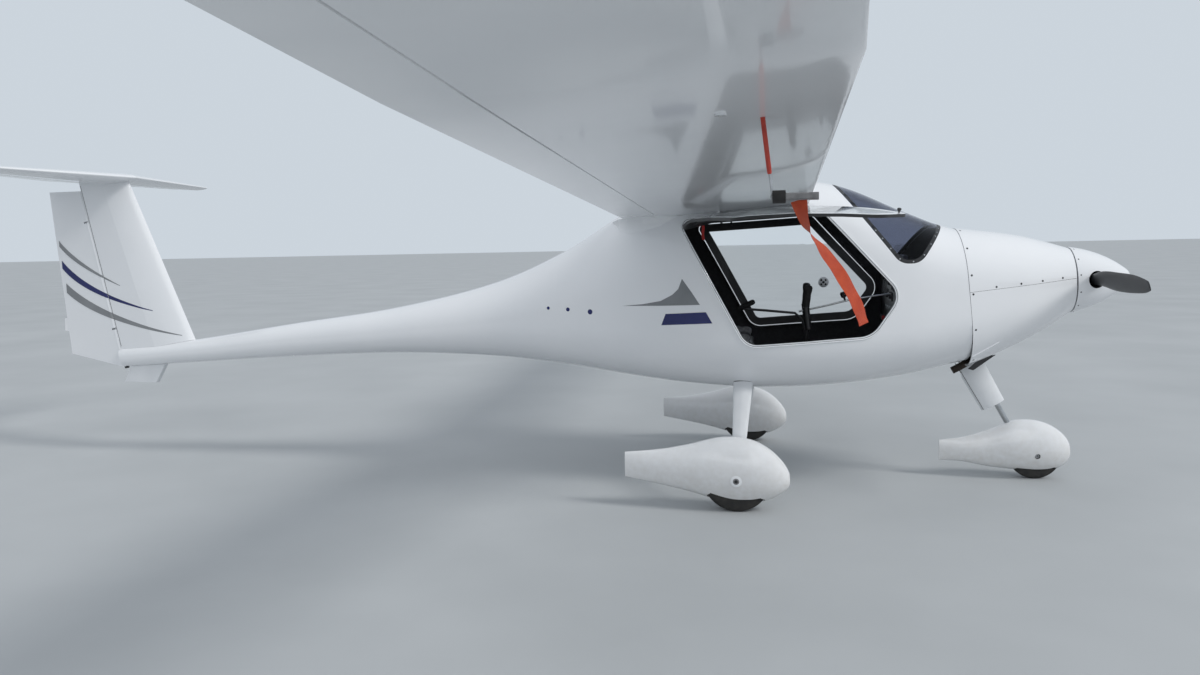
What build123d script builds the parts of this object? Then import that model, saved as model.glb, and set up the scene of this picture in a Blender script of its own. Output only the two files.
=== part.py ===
"""High-wing two-seat ultralight aircraft with a T-tail, tricycle gear and one door left open.

Frame: millimetres, +X forward, +Y to the left wing, +Z up, the ground at Z = 0. Stations, that is
lengths along the fuselage, are measured forward of the main axle, which is at X = main_axle_x.
"""

import os
from math import cos, radians, sin, tan

from build123d import *

# Datum and fits
main_axle_x = 1225.7  # puts the origin midway between elevator and spinner tip
seat_gap = 0.3  # between pieces that are seated on curved faces
run_gap = 0.08  # radial clearance of a shaft in its bore
move_gap = 6.0  # round moving pieces
end_gap = 10.0  # at the ends of moving surfaces
far = 2000.0  # reach of cutting blocks past what they cut

# Fuselage
wall = 14.0  # composite sandwich of cabin, frames and door rims
pane = 4.0  # acrylic glazing
seam_x = 1120.0  # cowl seam, at the height of the thrust line
seam_lean = 6.0  # degrees, its top leaning aft
cabin_rear = -960.0  # station of the bulkhead behind the luggage space
firewall = 25.0
boom_split = -1000.0  # station where cabin and tail boom are joined

hull_steps = 2  # spans between two rows of a section table
# Sections of cabin and boom: station, top, bottom, half width, height of the greatest width,
# and the shares of width and height that stay flat between the corner arcs
hull_sections = (
    (1210, 1333, 668, 395, 1000, 0.30, 0.25),
    (1064, 1349, 634, 432, 998, 0.32, 0.28),
    (842, 1434, 585, 482, 992, 0.36, 0.35),
    (490, 1580, 541, 530, 985, 0.42, 0.42),
    (100, 1622, 524, 550, 980, 0.45, 0.42),
    (-300, 1598, 541, 505, 965, 0.42, 0.38),
    (-640, 1462, 574, 408, 948, 0.35, 0.30),
    (-960, 1280, 614, 308, 905, 0.25, 0.20),
    (-1410, 1092, 657, 210, 862, 0.16, 0.12),
    (-2050, 944, 672, 138, 805, 0.12, 0.10),
    (-2750, 846, 646, 104, 748, 0.12, 0.10),
    (-3430, 747, 606, 80, 678, 0.12, 0.10),
    (-4000, 690, 568, 48, 630, 0.12, 0.10),
)

# Cowling, from behind the seam to the round face behind the spinner
cowl_wall = 6.0
cowl_sections = (
    (1040, 1349, 590, 437, 998, 0.32, 0.28),
    (1120, 1343, 606, 420, 1000, 0.31, 0.26),
    (1400, 1307, 724, 322, 1012, 0.20, 0.16),
    (1560, 1268, 808, 244, 1035, 0.12, 0.10),
)
cowl_seam_z = 1025.0  # of the seam between the cowl's halves, at the cowl seam
cowl_seam_rise = 5.5  # degrees, upwards to the front

# Propeller
thrust_x = 1687.0
thrust_z = 1065.0
thrust_tilt = 3.0  # degrees, nose up
nose_radius = 168.0
nose_flat = 0.06
spinner_gap = 6.0
spinner_radius = 172.0
spinner_wall = 3.0
spinner_middle = (150, 124)  # ahead of its back, radius
spinner_shoulder = (272, 44)
spinner_bow = (289, 24)
spinner_tip = 3.0
spinner_length = 296.0
prop_plane = 96.0  # ahead of the spinner's back
hub_radius = 62.0
hub_length = 150.0
shaft_radius = 26.0
# Blade stations: radius, chord, thickness, pitch in degrees
blade_sections = (
    (52, 62, 56, 45),
    (150, 74, 40, 40),
    (300, 112, 24, 31),
    (520, 104, 15, 22),
    (720, 78, 10, 16),
    (805, 44, 6, 14),
)

# Hinge pins of flaperons, elevator and rudder
surface_pin = 4.0
pin_reach = 25.0  # into each of the two pieces
pin_play = 1.0

# Wings
half_span = 5355.0
wing_le = 349.0  # station of the leading edge at the root
wing_z = 1460.0  # height of the leading edge line in the middle plane
dihedral = 3.1
incidence = 3.0
root_chord = 954.0
kink_span = 3394.0
le_sweep = 0.078  # back per metre outboard of the kink
te_sweep = 0.029  # forward per metre outboard of the kink
tip_cap = 110.0
wing_root = 300.0  # where the root rib sits inside the fuselage
crest = 0.38  # station of the greatest thickness, as a share of the chord
upper_camber = 0.130
lower_camber = 0.016
closing_angle = 14.5
edge_thick = 0.003
flap_x = -449.0  # station of the flaperon hinge
flap_z = 1430.0  # height of the flaperon hinge line in the middle plane
flap_inner = 560.0
flap_outer = 5095.0
flap_nose = 33.0
tie_down_y = 3000.0
tie_down_x = 60.0
tie_down_radius = 4.0
tie_down_depth = 30.0
tie_boss_radius = 14.0
tie_boss_proud = 4.0
tie_boss_root = 20.0
tip_thin = 0.4  # thickness of the tip rib, as a share of the other ribs'
fairing_inside = 40.0  # how deep the root fairing's sections reach into the hull
# Root fairing between wing and hull, behind the door: station, drop of its foot below the wing
root_fairing_sections = (
    (-312, 6),
    (-400, 60),
    (-500, 88),
    (-590, 92),
    (-640, 62),
    (-690, 8),
)

# Tail
fin_low = (-3436, 746)
fin_high = (-3819, 1714)
rudder_low = (-4339, 655)
rudder_high = (-4416, 1705)
hinge_low = (-3944, 574)
hinge_high = (-4186, 1705)
fin_thick = 0.10
fin_bottom = 560.0
fin_foot = 655.0
fin_top = 1760.0
rudder_top = 1700.0
cove_past = 200.0  # the cove's length past both ends of the rudder's nose
rudder_lugs = (250, 950)  # along the rudder hinge from its foot
rudder_lug_thick = 10.0
rudder_lug_radius = 12.0
rudder_lug_root = 12.0  # into the fin, past the cove
rudder_nose_low = 30.0
rudder_nose_high = 18.0
tail_z = 1775.0
tail_half_span = 1090.0
tail_le = -3780.0
tail_root_chord = 660.0
tail_tip_le = -3992.0
tail_tip_chord = 300.0
tail_thick = 0.10
tail_cap = 40.0
tail_tip_thin = 0.5
elevator_x = -4200.0
elevator_half_span = 985.0
elevator_nose_root = 19.0
elevator_nose_tip = 9.0
bumper = ((-3951, 476), (-3886, 600), (-3640, 610), (-3725, 471))
bumper_thick = 34.0
tail_crest = 0.3

# Doors and windshield, seen from the side: station and height of each corner, with its radius
door_corners = (
    (-300, 1408, 34),
    (42, 772, 90),
    (655, 818, 120),
    (792, 1020, 90),
    (402, 1445, 34),
)
door_gap = 5.0
door_rim = 46.0
door_inside = 300.0  # the cuts start at this distance from the middle plane
hinge_y = 516.0
hinge_z = 1443.0
hinge_station = 100.0
hinge_tilt = 3.0
hinge_places = (-190, 210)  # along the hinge line from hinge_station
knuckle = 12.0  # length of a knuckle and of a lug
knuckle_radius = 8.0
lug_radius = 7.0
hinge_play = 0.5
pin_radius = 3.0
bracket_thick = 8.0
bracket_drop = 36.0
bracket_reach = 42.0
lug_height = 60.0
door_open = 84.0  # degrees, as the right door stands
screen_corners = (
    (452, 1700, 5),
    (811, 1176, 34),
    (905, 1176, 34),
    (1062, 1352, 5),
    (1062, 1700, 5),
)

# Main gear
track = 1600.0
tyre_radius = 163.0
tyre_width = 94.0
rim_radius = 76.0
axle_radius = 12.0
shoulder_radius = 17.0
# Leg stations: distance from the middle plane, height, station, chord, thickness
leg_sections = (
    (300, 640, 20, 112, 40),
    (380, 586, 19, 104, 34),
    (716, 360, 12, 72, 24),
    (731, 300, 8, 64, 20),
    (731, 130, 0, 50, 20),
)
axle_end = 58.0  # past the middle of the wheel
hub_half = 40.0
hub_play = 0.5
hub_shell = 16.0
rim_width = 72.0
rim_band = 8.0
rim_disc = 10.0
tyre_shoulder = 0.4
tyre_bead = 0.12
pant_wall = 3.5
pant_steps = 2
# Pant stations: station, top, bottom, half width
pant_sections = (
    (-548, 275, 150, 10),
    (-373, 295, 116, 44),
    (-225, 326, 80, 68),
    (-43, 361, 38, 85),
    (80, 345, 34, 87),
    (185, 288, 64, 68),
    (258, 205, 138, 24),
)

# Nose gear
wheelbase = 1548.0
nose_tyre_radius = 134.0
nose_tyre_width = 72.0
nose_rim_radius = 58.0
strut_x = 1353.0
strut_z = 404.0
strut_rake = 29.0  # degrees from upright, foot forward
strut_radius = 14.0
strut_up = 235.0  # from strut_z up to its head, along the strut
strut_down = 165.0
strut_play = 1.0
fairing_chord_high = 146.0
fairing_chord_low = 128.0
fairing_thick = 62.0
fairing_up = 340.0
fork_inside = 43.0
fork_plate = 7.0
fork_width = 24.0
crown_radius = 11.0
fairing_back = -20.0
nose_rim_width = 54.0
tow_bore = 6.0
tow_hole = 10.0  # radius of the hole in the wheel cover
nose_axle_radius = 10.0
nose_axle_end = 74.0
tow_bore_depth = 24.0
nose_pant_sections = (
    (1064, 197, 86, 12),
    (1190, 216, 80, 40),
    (1310, 256, 58, 62),
    (1430, 309, 46, 84),
    (1520, 321, 42, 88),
    (1620, 300, 54, 80),
    (1695, 245, 88, 56),
    (1729, 205, 138, 22),
)

# Inside the cabin and under the cowl
engine_box = (1165, 1520, 300, 880, 1170)  # first and last station, width, low and high
exhaust_radius = 19.0
exhaust_y = -75.0
exhaust_route = ((1290, 879.7), (1290, 700), (1150, 612), (1110, 590))
mount_length = 80.0
mount_radius = 15.0
mount_inset = 30.0
shaft_reach = 56.0  # of the propeller shaft, ahead of the spinner's back
shaft_length = 270.0
shaft_seat = 54.0
shaft_room = 8.0
spinner_back = 4.0
blade_hole = 44.0
outlet_half = 110.0
outlet_front = 1310.0
outlet_top = 745.0
floor_thick = 12.0
floor_back = -520.0
floor_front = 1060.0
panel_station = 800.0
panel_low = 830.0
panel_high = 1215.0
panel_thick = 22.0
seat_y = 215.0
seat_width = 380.0
seat_back = ((-330, 0), (-360, 128), (-500, 568), (-450, 588))  # from the floor up, behind
seat_pan = ((-300, 208), (60, 178), (85, 128), (60, 0))  # back down to the floor, in front
spar_station = -20.0
spar_z = 1480.0
spar_radius = 34.0
stick_station = 330.0
stick_lean = 30.0
stick_height = 210.0
stick_radius = 11.0
arm_radius = 9.0
arm_drop = 12.0
arm_rise = 30.0
grip_y = 150.0
grip_lean = 15.0
grip_length = 120.0
grip_radius = 17.0
floor_z = 610.0

# Pitot probe under the right wing
pitot_y = -2900.0
pitot_x = 151.0
pitot_tube_x = 179.0
pitot_tube_z = 1403.0
pitot_rod_radius = 6.0
cover_start = 176.0
cover_end = 287.0
cover_width = 26.0
cover_height = 18.0
cover_corner = 5.0
pitot_rise = 230.0
pitot_bend = 20.0
pitot_end = 272.0
ribbon_route = ((243, 1393.4), (250, 1358), (279, 1298), (326, 1201), (397, 1091))
ribbon_width = 48.0
ribbon_thick = 3.0


def at(station):
    """Global X of a station."""
    return main_axle_x + station


def across(station):
    """Plane across the fuselage: its x is the aircraft's left, its y is up."""
    return Plane(origin=(at(station), 0, 0), x_dir=(0, 1, 0), z_dir=(1, 0, 0))


def side(y=0.0):
    """Upright plane along the aircraft: its x is forward, its y is up, its normal is to the right."""
    return Plane(origin=(main_axle_x, y, 0), x_dir=(1, 0, 0), z_dir=(0, -1, 0))


def rounded_section(half, top, bottom, wide, flat_top, flat_side):
    """Closed outline of eight edges: four quarter ellipses joined by four straight sides."""
    side_x = half * flat_top
    radius_x = half - side_x
    high = wide + (top - wide) * flat_side
    low = wide - (wide - bottom) * flat_side
    with BuildLine() as outline:
        Line((half, low), (half, high))
        EllipticalCenterArc((side_x, high), radius_x, top - high, 0, arc_size=90)
        Line((side_x, top), (-side_x, top))
        EllipticalCenterArc((-side_x, high), radius_x, top - high, 90, arc_size=90)
        Line((-half, high), (-half, low))
        EllipticalCenterArc((-side_x, low), radius_x, low - bottom, 180, arc_size=90)
        Line((-side_x, bottom), (side_x, bottom))
        EllipticalCenterArc((side_x, low), radius_x, low - bottom, 270, arc_size=90)
    make_face(outline.edges())


def eased(rows, steps):
    """Rows of a table with steps - 1 rows between each pair, on cubic curves through the rows."""
    for i in range(len(rows) - 1):
        first, last = rows[i], rows[i + 1]
        before = rows[i - 1] if i else first
        after = rows[i + 2] if i + 2 < len(rows) else last
        span = last[0] - first[0]
        span_first = (last[0] - before[0]) / span
        span_last = (after[0] - first[0]) / span
        for step in range(steps):
            t = step / steps
            yield tuple(
                a * (1 + 2 * t) * (1 - t) ** 2
                + b * (3 - 2 * t) * t**2
                + (b - z) / span_first * t * (1 - t) ** 2
                - (c - a) / span_last * t**2 * (1 - t)
                for z, a, b, c in zip(before, first, last, after)
            )
    yield rows[-1]


def body_loft(sections, inset=0.0):
    """Solid through sections of a table, all shrunk by an inset."""
    with BuildPart() as body:
        for station, top, bottom, half, wide, flat_top, flat_side in eased(sections, hull_steps):
            with BuildSketch(across(station)):
                rounded_section(half - inset, top - inset, bottom + inset, wide, flat_top, flat_side)
        loft(ruled=True)
    return body.part


thrust_line = Plane(
    origin=(at(thrust_x), 0, thrust_z),
    x_dir=(0, 1, 0),
    z_dir=(cos(radians(thrust_tilt)), 0, sin(radians(thrust_tilt))),
)


def cowl_loft(inset=0.0):
    """Solid of the whole cowling, ending in the round face behind the spinner."""
    with BuildPart() as body:
        for station, top, bottom, half, wide, flat_top, flat_side in eased(cowl_sections, hull_steps):
            with BuildSketch(across(station)):
                rounded_section(half - inset, top - inset, bottom + inset, wide, flat_top, flat_side)
        with BuildSketch(thrust_line):
            round_edge = nose_radius - inset
            rounded_section(round_edge, round_edge, -round_edge, 0, nose_flat, nose_flat)
        loft(ruled=True)
    return body.part


# Hull solids: outer face, inner face of the glazing, inner face of the wall, and a seat for others
hull_outer = body_loft(hull_sections)
hull_pane = body_loft(hull_sections, pane)
hull_inner = body_loft(hull_sections, wall)
hull_seat = body_loft(hull_sections, -seat_gap)

# Slanted planes: the normal of seam_plane points forward, that of cowl_split points up
seam_plane = Plane(
    origin=(at(seam_x), 0, thrust_z),
    x_dir=(0, 1, 0),
    z_dir=(cos(radians(seam_lean)), 0, sin(radians(seam_lean))),
)
cowl_split = Plane(
    origin=(at(seam_x), 0, cowl_seam_z),
    x_dir=(0, 1, 0),
    z_dir=(-sin(radians(cowl_seam_rise)), 0, cos(radians(cowl_seam_rise))),
)

hinge_tilt_r = radians(hinge_tilt)
hinge_direction = (cos(hinge_tilt_r), 0, sin(hinge_tilt_r))


def outline_prism(corners, low_y, high_y, shrink=0.0):
    """Prism across the aircraft with a rounded outline that is given in the side view."""
    points = [(station, height) for station, height, _ in corners]
    radii = [radius for _, _, radius in corners]
    with BuildPart() as prism:
        with BuildSketch(side(high_y)) as outline:
            with BuildLine():
                FilletPolyline(*points, radius=radii, close=True)
            make_face()
            if shrink:
                offset(amount=-shrink, kind=Kind.INTERSECTION, mode=Mode.REPLACE)
        extrude(amount=high_y - low_y)
    return prism.part


# Wing sections and solids
def wing_section(chord, thin=1.0):
    """Aerofoil of a quarter ellipse, an arc and a line above, and an ellipse and an arc below."""
    turn = radians(closing_angle * thin)
    high = upper_camber * chord * thin
    low = lower_camber * chord * thin
    edge = edge_thick * chord
    crest_x = crest * chord
    run = chord - crest_x
    bend = (run * tan(turn) - high + edge) / (1 / cos(turn) - 1)
    leave = (crest_x + bend * sin(turn), high - bend * (1 - cos(turn)))
    with BuildLine() as outline:
        EllipticalCenterArc((crest_x, 0), crest_x, high, 180, arc_size=-90)
        TangentArc((crest_x, high), leave, tangent=(1, 0))
        Line(leave, (chord, edge))
        Line((chord, edge), (chord, -edge))
        TangentArc((crest_x, -low), (chord, -edge), tangent=(1, 0))
        EllipticalCenterArc((crest_x, 0), crest_x, low, 180, arc_size=90)
    make_face(outline.edges())


def rib_plane(y):
    """Plane of a wing rib: its x runs aft along the chord, its y is up."""
    outboard = max(0.0, abs(y) - kink_span)
    lean = radians(incidence)
    return Plane(
        origin=(at(wing_le) - le_sweep * outboard, y, wing_z + abs(y) * tan(radians(dihedral))),
        x_dir=(-cos(lean), 0, -sin(lean)),
        z_dir=(0, 1, 0),
    )


def chord_at(y):
    """Chord of the wing at a distance from the middle plane."""
    return root_chord - (le_sweep + te_sweep) * max(0.0, y - kink_span)


with BuildPart() as wing_blank:
    for rib_y in (wing_root, kink_span, half_span - tip_cap):
        with BuildSketch(rib_plane(rib_y)):
            wing_section(chord_at(rib_y))
    loft(ruled=True)

with BuildPart() as wing_tip:
    with BuildSketch(rib_plane(half_span - tip_cap)):
        wing_section(chord_at(half_span - tip_cap))
    with BuildSketch(rib_plane(half_span)):
        wing_section(chord_at(half_span), tip_thin)
    loft(ruled=True)


def chord_plane_z(station, y):
    """Height of the wing's chord plane inboard of the kink."""
    return wing_z + y * tan(radians(dihedral)) - (wing_le - station) * tan(radians(incidence))


def under_wing_z(station, y):
    """Height of the wing's lower face between its crest and its trailing edge."""
    run = (1 - crest) * root_chord
    aft = min(1, ((wing_le - station) - crest * root_chord) / run)
    low = lower_camber * root_chord
    return chord_plane_z(station, y) - low + (low - edge_thick * root_chord) * aft**2


def hull_side(station, height):
    """Half width of the hull at a station, at a height above its widest part."""
    rows = list(eased(hull_sections, hull_steps))
    i = sum(row[0] >= station for row in rows) - 1
    share = (rows[i][0] - station) / (rows[i][0] - rows[i + 1][0])
    row = [a + (b - a) * share for a, b in zip(rows[i], rows[i + 1])]
    _, top, _, half, wide, flat_top, flat_side = row
    corner_z = wide + (top - wide) * flat_side
    rise = min(1, max(0, (height - corner_z) / (top - corner_z)))
    return half * flat_top + half * (1 - flat_top) * (1 - rise**2) ** 0.5


def fairing_section(station, drop):
    """Wedge between wing and hull whose free side is an arc that leaves the wing smoothly."""
    corner_y = hull_side(station, under_wing_z(station, wing_root))
    corner_z = under_wing_z(station, corner_y)
    foot = Vector(hull_side(station, corner_z - drop), corner_z - drop)
    edge_y = corner_y + (foot - Vector(corner_y, corner_z)).length
    edge = Vector(edge_y, under_wing_z(station, edge_y))
    inner_y = corner_y - fairing_inside
    with BuildLine() as outline:
        Line(edge, (edge_y, chord_plane_z(station, edge_y)))
        Line((edge_y, chord_plane_z(station, edge_y)), (inner_y, chord_plane_z(station, inner_y)))
        Line((inner_y, chord_plane_z(station, inner_y)), (inner_y, foot.Y))
        Line((inner_y, foot.Y), foot)
        TangentArc(edge, foot, tangent=(-1, -tan(radians(dihedral))))
    make_face(outline.edges())


with BuildPart() as root_fairing:
    for station, drop in root_fairing_sections:
        with BuildSketch(across(station)):
            fairing_section(station, drop)
    loft(ruled=True)


def cone(axis_plane, start, end, start_radius, end_radius):
    """Round solid along the normal of a plane, between two distances from it."""
    with BuildPart() as body:
        with BuildSketch(axis_plane.offset(start)):
            Circle(start_radius)
        with BuildSketch(axis_plane.offset(end)):
            Circle(end_radius)
        loft(ruled=True)
    return body.part


def block(low, high):
    """Plain box between two corners."""
    with BuildPart() as body:
        with Locations(Vector(*[(high[i] + low[i]) / 2 for i in range(3)])):
            Box(*[high[i] - low[i] for i in range(3)])
    return body.part


def rod(start, end, radius):
    """Round rod between two points."""
    reach = Vector(*end) - Vector(*start)
    with BuildPart() as body:
        with BuildSketch(Plane(origin=start, z_dir=reach)):
            Circle(radius)
        extrude(amount=reach.length)
    return body.part


def mirrored(piece):
    """The same piece on the other side of the aircraft."""
    return mirror(piece, about=Plane.XZ)


# Flaperons and what is cut away for them
flap_axis = Plane(
    origin=(at(flap_x), 0, flap_z),
    x_dir=(1, 0, 0),
    z_dir=(0, cos(radians(dihedral)), sin(radians(dihedral))),
)
span_scale = 1 / cos(radians(dihedral))


def behind_hinge(inner, outer):
    """Block behind the flaperon hinge, between two distances from the middle plane."""
    return block((at(flap_x) - far, inner, 0), (at(flap_x), outer, 2 * far))


def round_hinge(inner, outer, radius):
    """Cylinder round the flaperon hinge, between two distances from the middle plane."""
    return cone(flap_axis, inner * span_scale, outer * span_scale, radius, radius)


with BuildPart() as flaperon_left:
    add(behind_hinge(flap_inner, flap_outer))
    add(round_hinge(flap_inner, flap_outer, flap_nose))
    add(wing_blank.part, mode=Mode.INTERSECT)
    bore = surface_pin + run_gap
    deep = pin_reach + pin_play
    add(round_hinge(flap_inner - end_gap, flap_inner + deep, bore), mode=Mode.SUBTRACT)
    add(round_hinge(flap_outer - deep, flap_outer + end_gap, bore), mode=Mode.SUBTRACT)

tie_rib = rib_plane(tie_down_y)
tie_low = tie_rib.origin.Z - (wing_le - tie_down_x) * sin(radians(incidence)) - lower_camber * root_chord
with BuildPart() as wing_left:
    add(wing_blank.part)
    add(wing_tip.part)
    add(root_fairing.part)
    add(behind_hinge(flap_inner - end_gap, flap_outer + end_gap), mode=Mode.SUBTRACT)
    add(
        round_hinge(flap_inner - end_gap, flap_outer + end_gap, flap_nose + move_gap),
        mode=Mode.SUBTRACT,
    )
    add(round_hinge(flap_inner - end_gap - pin_reach, flap_inner + pin_reach, surface_pin))
    add(round_hinge(flap_outer - pin_reach, flap_outer + end_gap + pin_reach, surface_pin))
    add(hull_seat, mode=Mode.SUBTRACT)
    with BuildSketch(Plane.XY.offset(tie_low - tie_boss_proud)):
        with Locations((at(tie_down_x), tie_down_y)):
            Circle(tie_boss_radius)
    extrude(amount=tie_boss_proud + tie_boss_root)
    with BuildSketch(Plane.XY.offset(tie_low - tie_boss_proud)):
        with Locations((at(tie_down_x), tie_down_y)):
            Circle(tie_down_radius)
    extrude(amount=tie_down_depth, mode=Mode.SUBTRACT)

# Doors, windshield and cabin
door_outline = outline_prism(door_corners, door_inside, far)
door_panel = outline_prism(door_corners, door_inside, far, door_gap)
door_window = outline_prism(door_corners, door_inside, far, door_gap + door_rim)
screen_outline = outline_prism(screen_corners, -far, far)

with BuildPart() as cavity:
    add(hull_inner)
    split(bisect_by=seam_plane.offset(-firewall), keep=Keep.BOTTOM)
    split(bisect_by=across(cabin_rear), keep=Keep.TOP)

with BuildPart() as cabin_shell:
    add(hull_outer)
    split(bisect_by=seam_plane, keep=Keep.BOTTOM)
    split(bisect_by=across(boom_split), keep=Keep.TOP)
    add(cavity.part, mode=Mode.SUBTRACT)
    add(door_outline, mode=Mode.SUBTRACT)
    add(mirrored(door_outline), mode=Mode.SUBTRACT)
    add(screen_outline, mode=Mode.SUBTRACT)

with BuildPart() as windshield:
    add(hull_outer)
    add(hull_pane, mode=Mode.SUBTRACT)
    add(screen_outline, mode=Mode.INTERSECT)

with BuildPart() as door_glass:
    add(hull_outer)
    add(hull_pane, mode=Mode.SUBTRACT)
    add(door_window, mode=Mode.INTERSECT)


def hinge_plane(place, y):
    """Plane across the door's hinge line; its x is outboard, its y up, its normal forward."""
    reach = Vector(*hinge_direction) * place
    origin = Vector(at(hinge_station), y, hinge_z) + reach
    return Plane(origin=origin, x_dir=(0, 1, 0), z_dir=hinge_direction)


with BuildPart() as door_frame:
    add(hull_outer)
    add(hull_inner, mode=Mode.SUBTRACT)
    add(door_panel, mode=Mode.INTERSECT)
    add(door_window, mode=Mode.SUBTRACT)
    for place in hinge_places:
        with BuildSketch(hinge_plane(place, hinge_y)):
            Circle(knuckle_radius)
            with Locations((0, -bracket_drop / 2)):
                Rectangle(bracket_thick, bracket_drop)
            with Locations((-bracket_reach / 2, -bracket_drop + bracket_thick / 2)):
                Rectangle(bracket_reach, bracket_thick)
        extrude(amount=knuckle)
        with BuildSketch(hinge_plane(place, hinge_y)):
            Circle(pin_radius + run_gap)
        extrude(amount=knuckle, mode=Mode.SUBTRACT)

with BuildPart() as door_hinges:
    for place in hinge_places:
        with BuildSketch(hinge_plane(place - knuckle - hinge_play, hinge_y)):
            Circle(lug_radius)
            with Locations((0, lug_height / 2)):
                Rectangle(2 * lug_radius, lug_height)
        extrude(amount=knuckle)
        with BuildSketch(hinge_plane(place - knuckle - hinge_play, hinge_y)):
            Circle(pin_radius)
        extrude(amount=2 * (knuckle + hinge_play))
    add(wing_left.part, mode=Mode.SUBTRACT)
    add(hull_seat, mode=Mode.SUBTRACT)
    mirror(about=Plane.XZ)

right_hinge = Axis(origin=(at(hinge_station), -hinge_y, hinge_z), direction=hinge_direction)
door_right_frame = mirrored(door_frame.part).rotate(right_hinge, -door_open)
door_right_glass = mirrored(door_glass.part).rotate(right_hinge, -door_open)

# Cowling and engine
with BuildPart() as cowl_cavity:
    add(cowl_loft(cowl_wall))
    split(bisect_by=thrust_line.offset(-cowl_wall), keep=Keep.BOTTOM)

with BuildPart() as cowl_whole:
    add(cowl_loft())
    add(cowl_cavity.part, mode=Mode.SUBTRACT)
    split(bisect_by=seam_plane, keep=Keep.TOP)
    with BuildSketch(thrust_line):
        Circle(shaft_radius + shaft_room)
    extrude(amount=-3 * cowl_wall, mode=Mode.SUBTRACT)

with BuildPart() as cowl_upper:
    add(cowl_whole.part)
    split(bisect_by=cowl_split, keep=Keep.TOP)

with BuildPart() as cowl_lower:
    add(cowl_whole.part)
    split(bisect_by=cowl_split, keep=Keep.BOTTOM)
    add(
        block((at(seam_x) - far, -outlet_half, 0), (at(outlet_front), outlet_half, outlet_top)),
        mode=Mode.SUBTRACT,
    )

engine_back, engine_front, engine_width, engine_low, engine_high = engine_box
with BuildPart() as engine_block:
    engine_half = engine_width / 2
    add(block((at(engine_back), -engine_half, engine_low), (at(engine_front), engine_half, engine_high)))
    with BuildSketch(across(engine_back - mount_length)):
        with Locations((0, (engine_low + engine_high) / 2)):
            across_mounts = engine_width - 2 * mount_inset
            up_mounts = engine_high - engine_low - 2 * mount_inset
            with GridLocations(across_mounts, up_mounts, 2, 2):
                Circle(mount_radius)
    extrude(amount=mount_length)
    split(bisect_by=seam_plane, keep=Keep.TOP)
    with BuildSketch(thrust_line.offset(spinner_gap + shaft_reach)):
        Circle(shaft_radius)
    extrude(amount=-shaft_length)

with BuildPart() as exhaust_pipe:
    with BuildLine(side(exhaust_y)) as exhaust_path:
        FilletPolyline(*exhaust_route, radius=3 * exhaust_radius)
    with BuildSketch(Plane(origin=exhaust_path.line @ 0, z_dir=exhaust_path.line % 0)):
        Circle(exhaust_radius)
    sweep()

# Propeller
spinner_base = thrust_line.offset(spinner_gap)
spinner_side = Plane(origin=spinner_base.origin, x_dir=spinner_base.z_dir, z_dir=(0, -1, 0))
thrust_axis = Axis(origin=spinner_base.origin, direction=spinner_base.z_dir)


def spinner_outline(inset, back):
    """Half outline of the spinner: its length runs along x."""
    middle_x, middle_r = spinner_middle
    shoulder_x, shoulder_r = spinner_shoulder
    bow_x, bow_r = spinner_bow
    with BuildLine() as outline:
        Line((back, 0), (back, spinner_radius - inset))
        ThreePointArc(
            (back, spinner_radius - inset),
            (middle_x, middle_r - inset),
            (shoulder_x - inset, shoulder_r - inset),
        )
        ThreePointArc(
            (shoulder_x - inset, shoulder_r - inset),
            (bow_x - inset, bow_r - inset),
            (spinner_length - inset, spinner_tip),
        )
        Line((spinner_length - inset, spinner_tip), (spinner_length - inset, 0))
        Line((spinner_length - inset, 0), (back, 0))
    return make_face(outline.edges())


with BuildPart() as spinner:
    with BuildSketch(spinner_side):
        spinner_outline(0, 0)
    revolve(axis=thrust_axis)
    with BuildSketch(spinner_side):
        spinner_outline(spinner_wall, spinner_back)
    revolve(axis=thrust_axis, mode=Mode.SUBTRACT)
    with BuildSketch(spinner_base):
        Circle(shaft_radius + shaft_room)
    extrude(amount=spinner_back, mode=Mode.SUBTRACT)
    blade_line = Plane(
        origin=spinner_base.origin + spinner_base.z_dir * prop_plane,
        x_dir=spinner_base.y_dir,
        z_dir=(0, 1, 0),
    )
    with BuildSketch(blade_line):
        Circle(blade_hole)
    extrude(amount=spinner_radius, both=True, mode=Mode.SUBTRACT)


def blade_plane(reach, pitch):
    """Plane across a blade: its x is the chord, turned forward by the pitch."""
    up = blade_line.x_dir * cos(radians(pitch))
    ahead = spinner_base.z_dir * sin(radians(pitch))
    return Plane(
        origin=blade_line.origin + Vector(0, reach, 0), x_dir=(up + ahead), z_dir=(0, 1, 0)
    )


with BuildPart() as blade:
    for reach, chord, thick, pitch in blade_sections:
        with BuildSketch(blade_plane(reach, pitch)):
            Ellipse(chord / 2, thick / 2)
    loft()

with BuildPart() as prop_blades:
    add(blade.part)
    add(blade.part.rotate(thrust_axis, 180))
    with BuildSketch(spinner_base.offset(spinner_back)):
        Circle(hub_radius)
    extrude(amount=hub_length)
    with BuildSketch(spinner_base.offset(spinner_back)):
        Circle(shaft_radius + run_gap)
    extrude(amount=shaft_seat, mode=Mode.SUBTRACT)


# Tail
def along(low, high, height):
    """Station of a slanted edge at a height."""
    return low[0] + (high[0] - low[0]) * (height - low[1]) / (high[1] - low[1])


def plain_section(chord, thick):
    """Symmetrical aerofoil: a half ellipse and two straight sides."""
    crest_x = tail_crest * chord
    half = thick * chord / 2
    edge = edge_thick * chord
    with BuildLine() as outline:
        EllipticalCenterArc((crest_x, 0), crest_x, half, 180, arc_size=-90)
        Line((crest_x, half), (chord, edge))
        Line((chord, edge), (chord, -edge))
        Line((chord, -edge), (crest_x, -half))
        EllipticalCenterArc((crest_x, 0), crest_x, half, 180, arc_size=90)
    return make_face(outline.edges())


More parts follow.
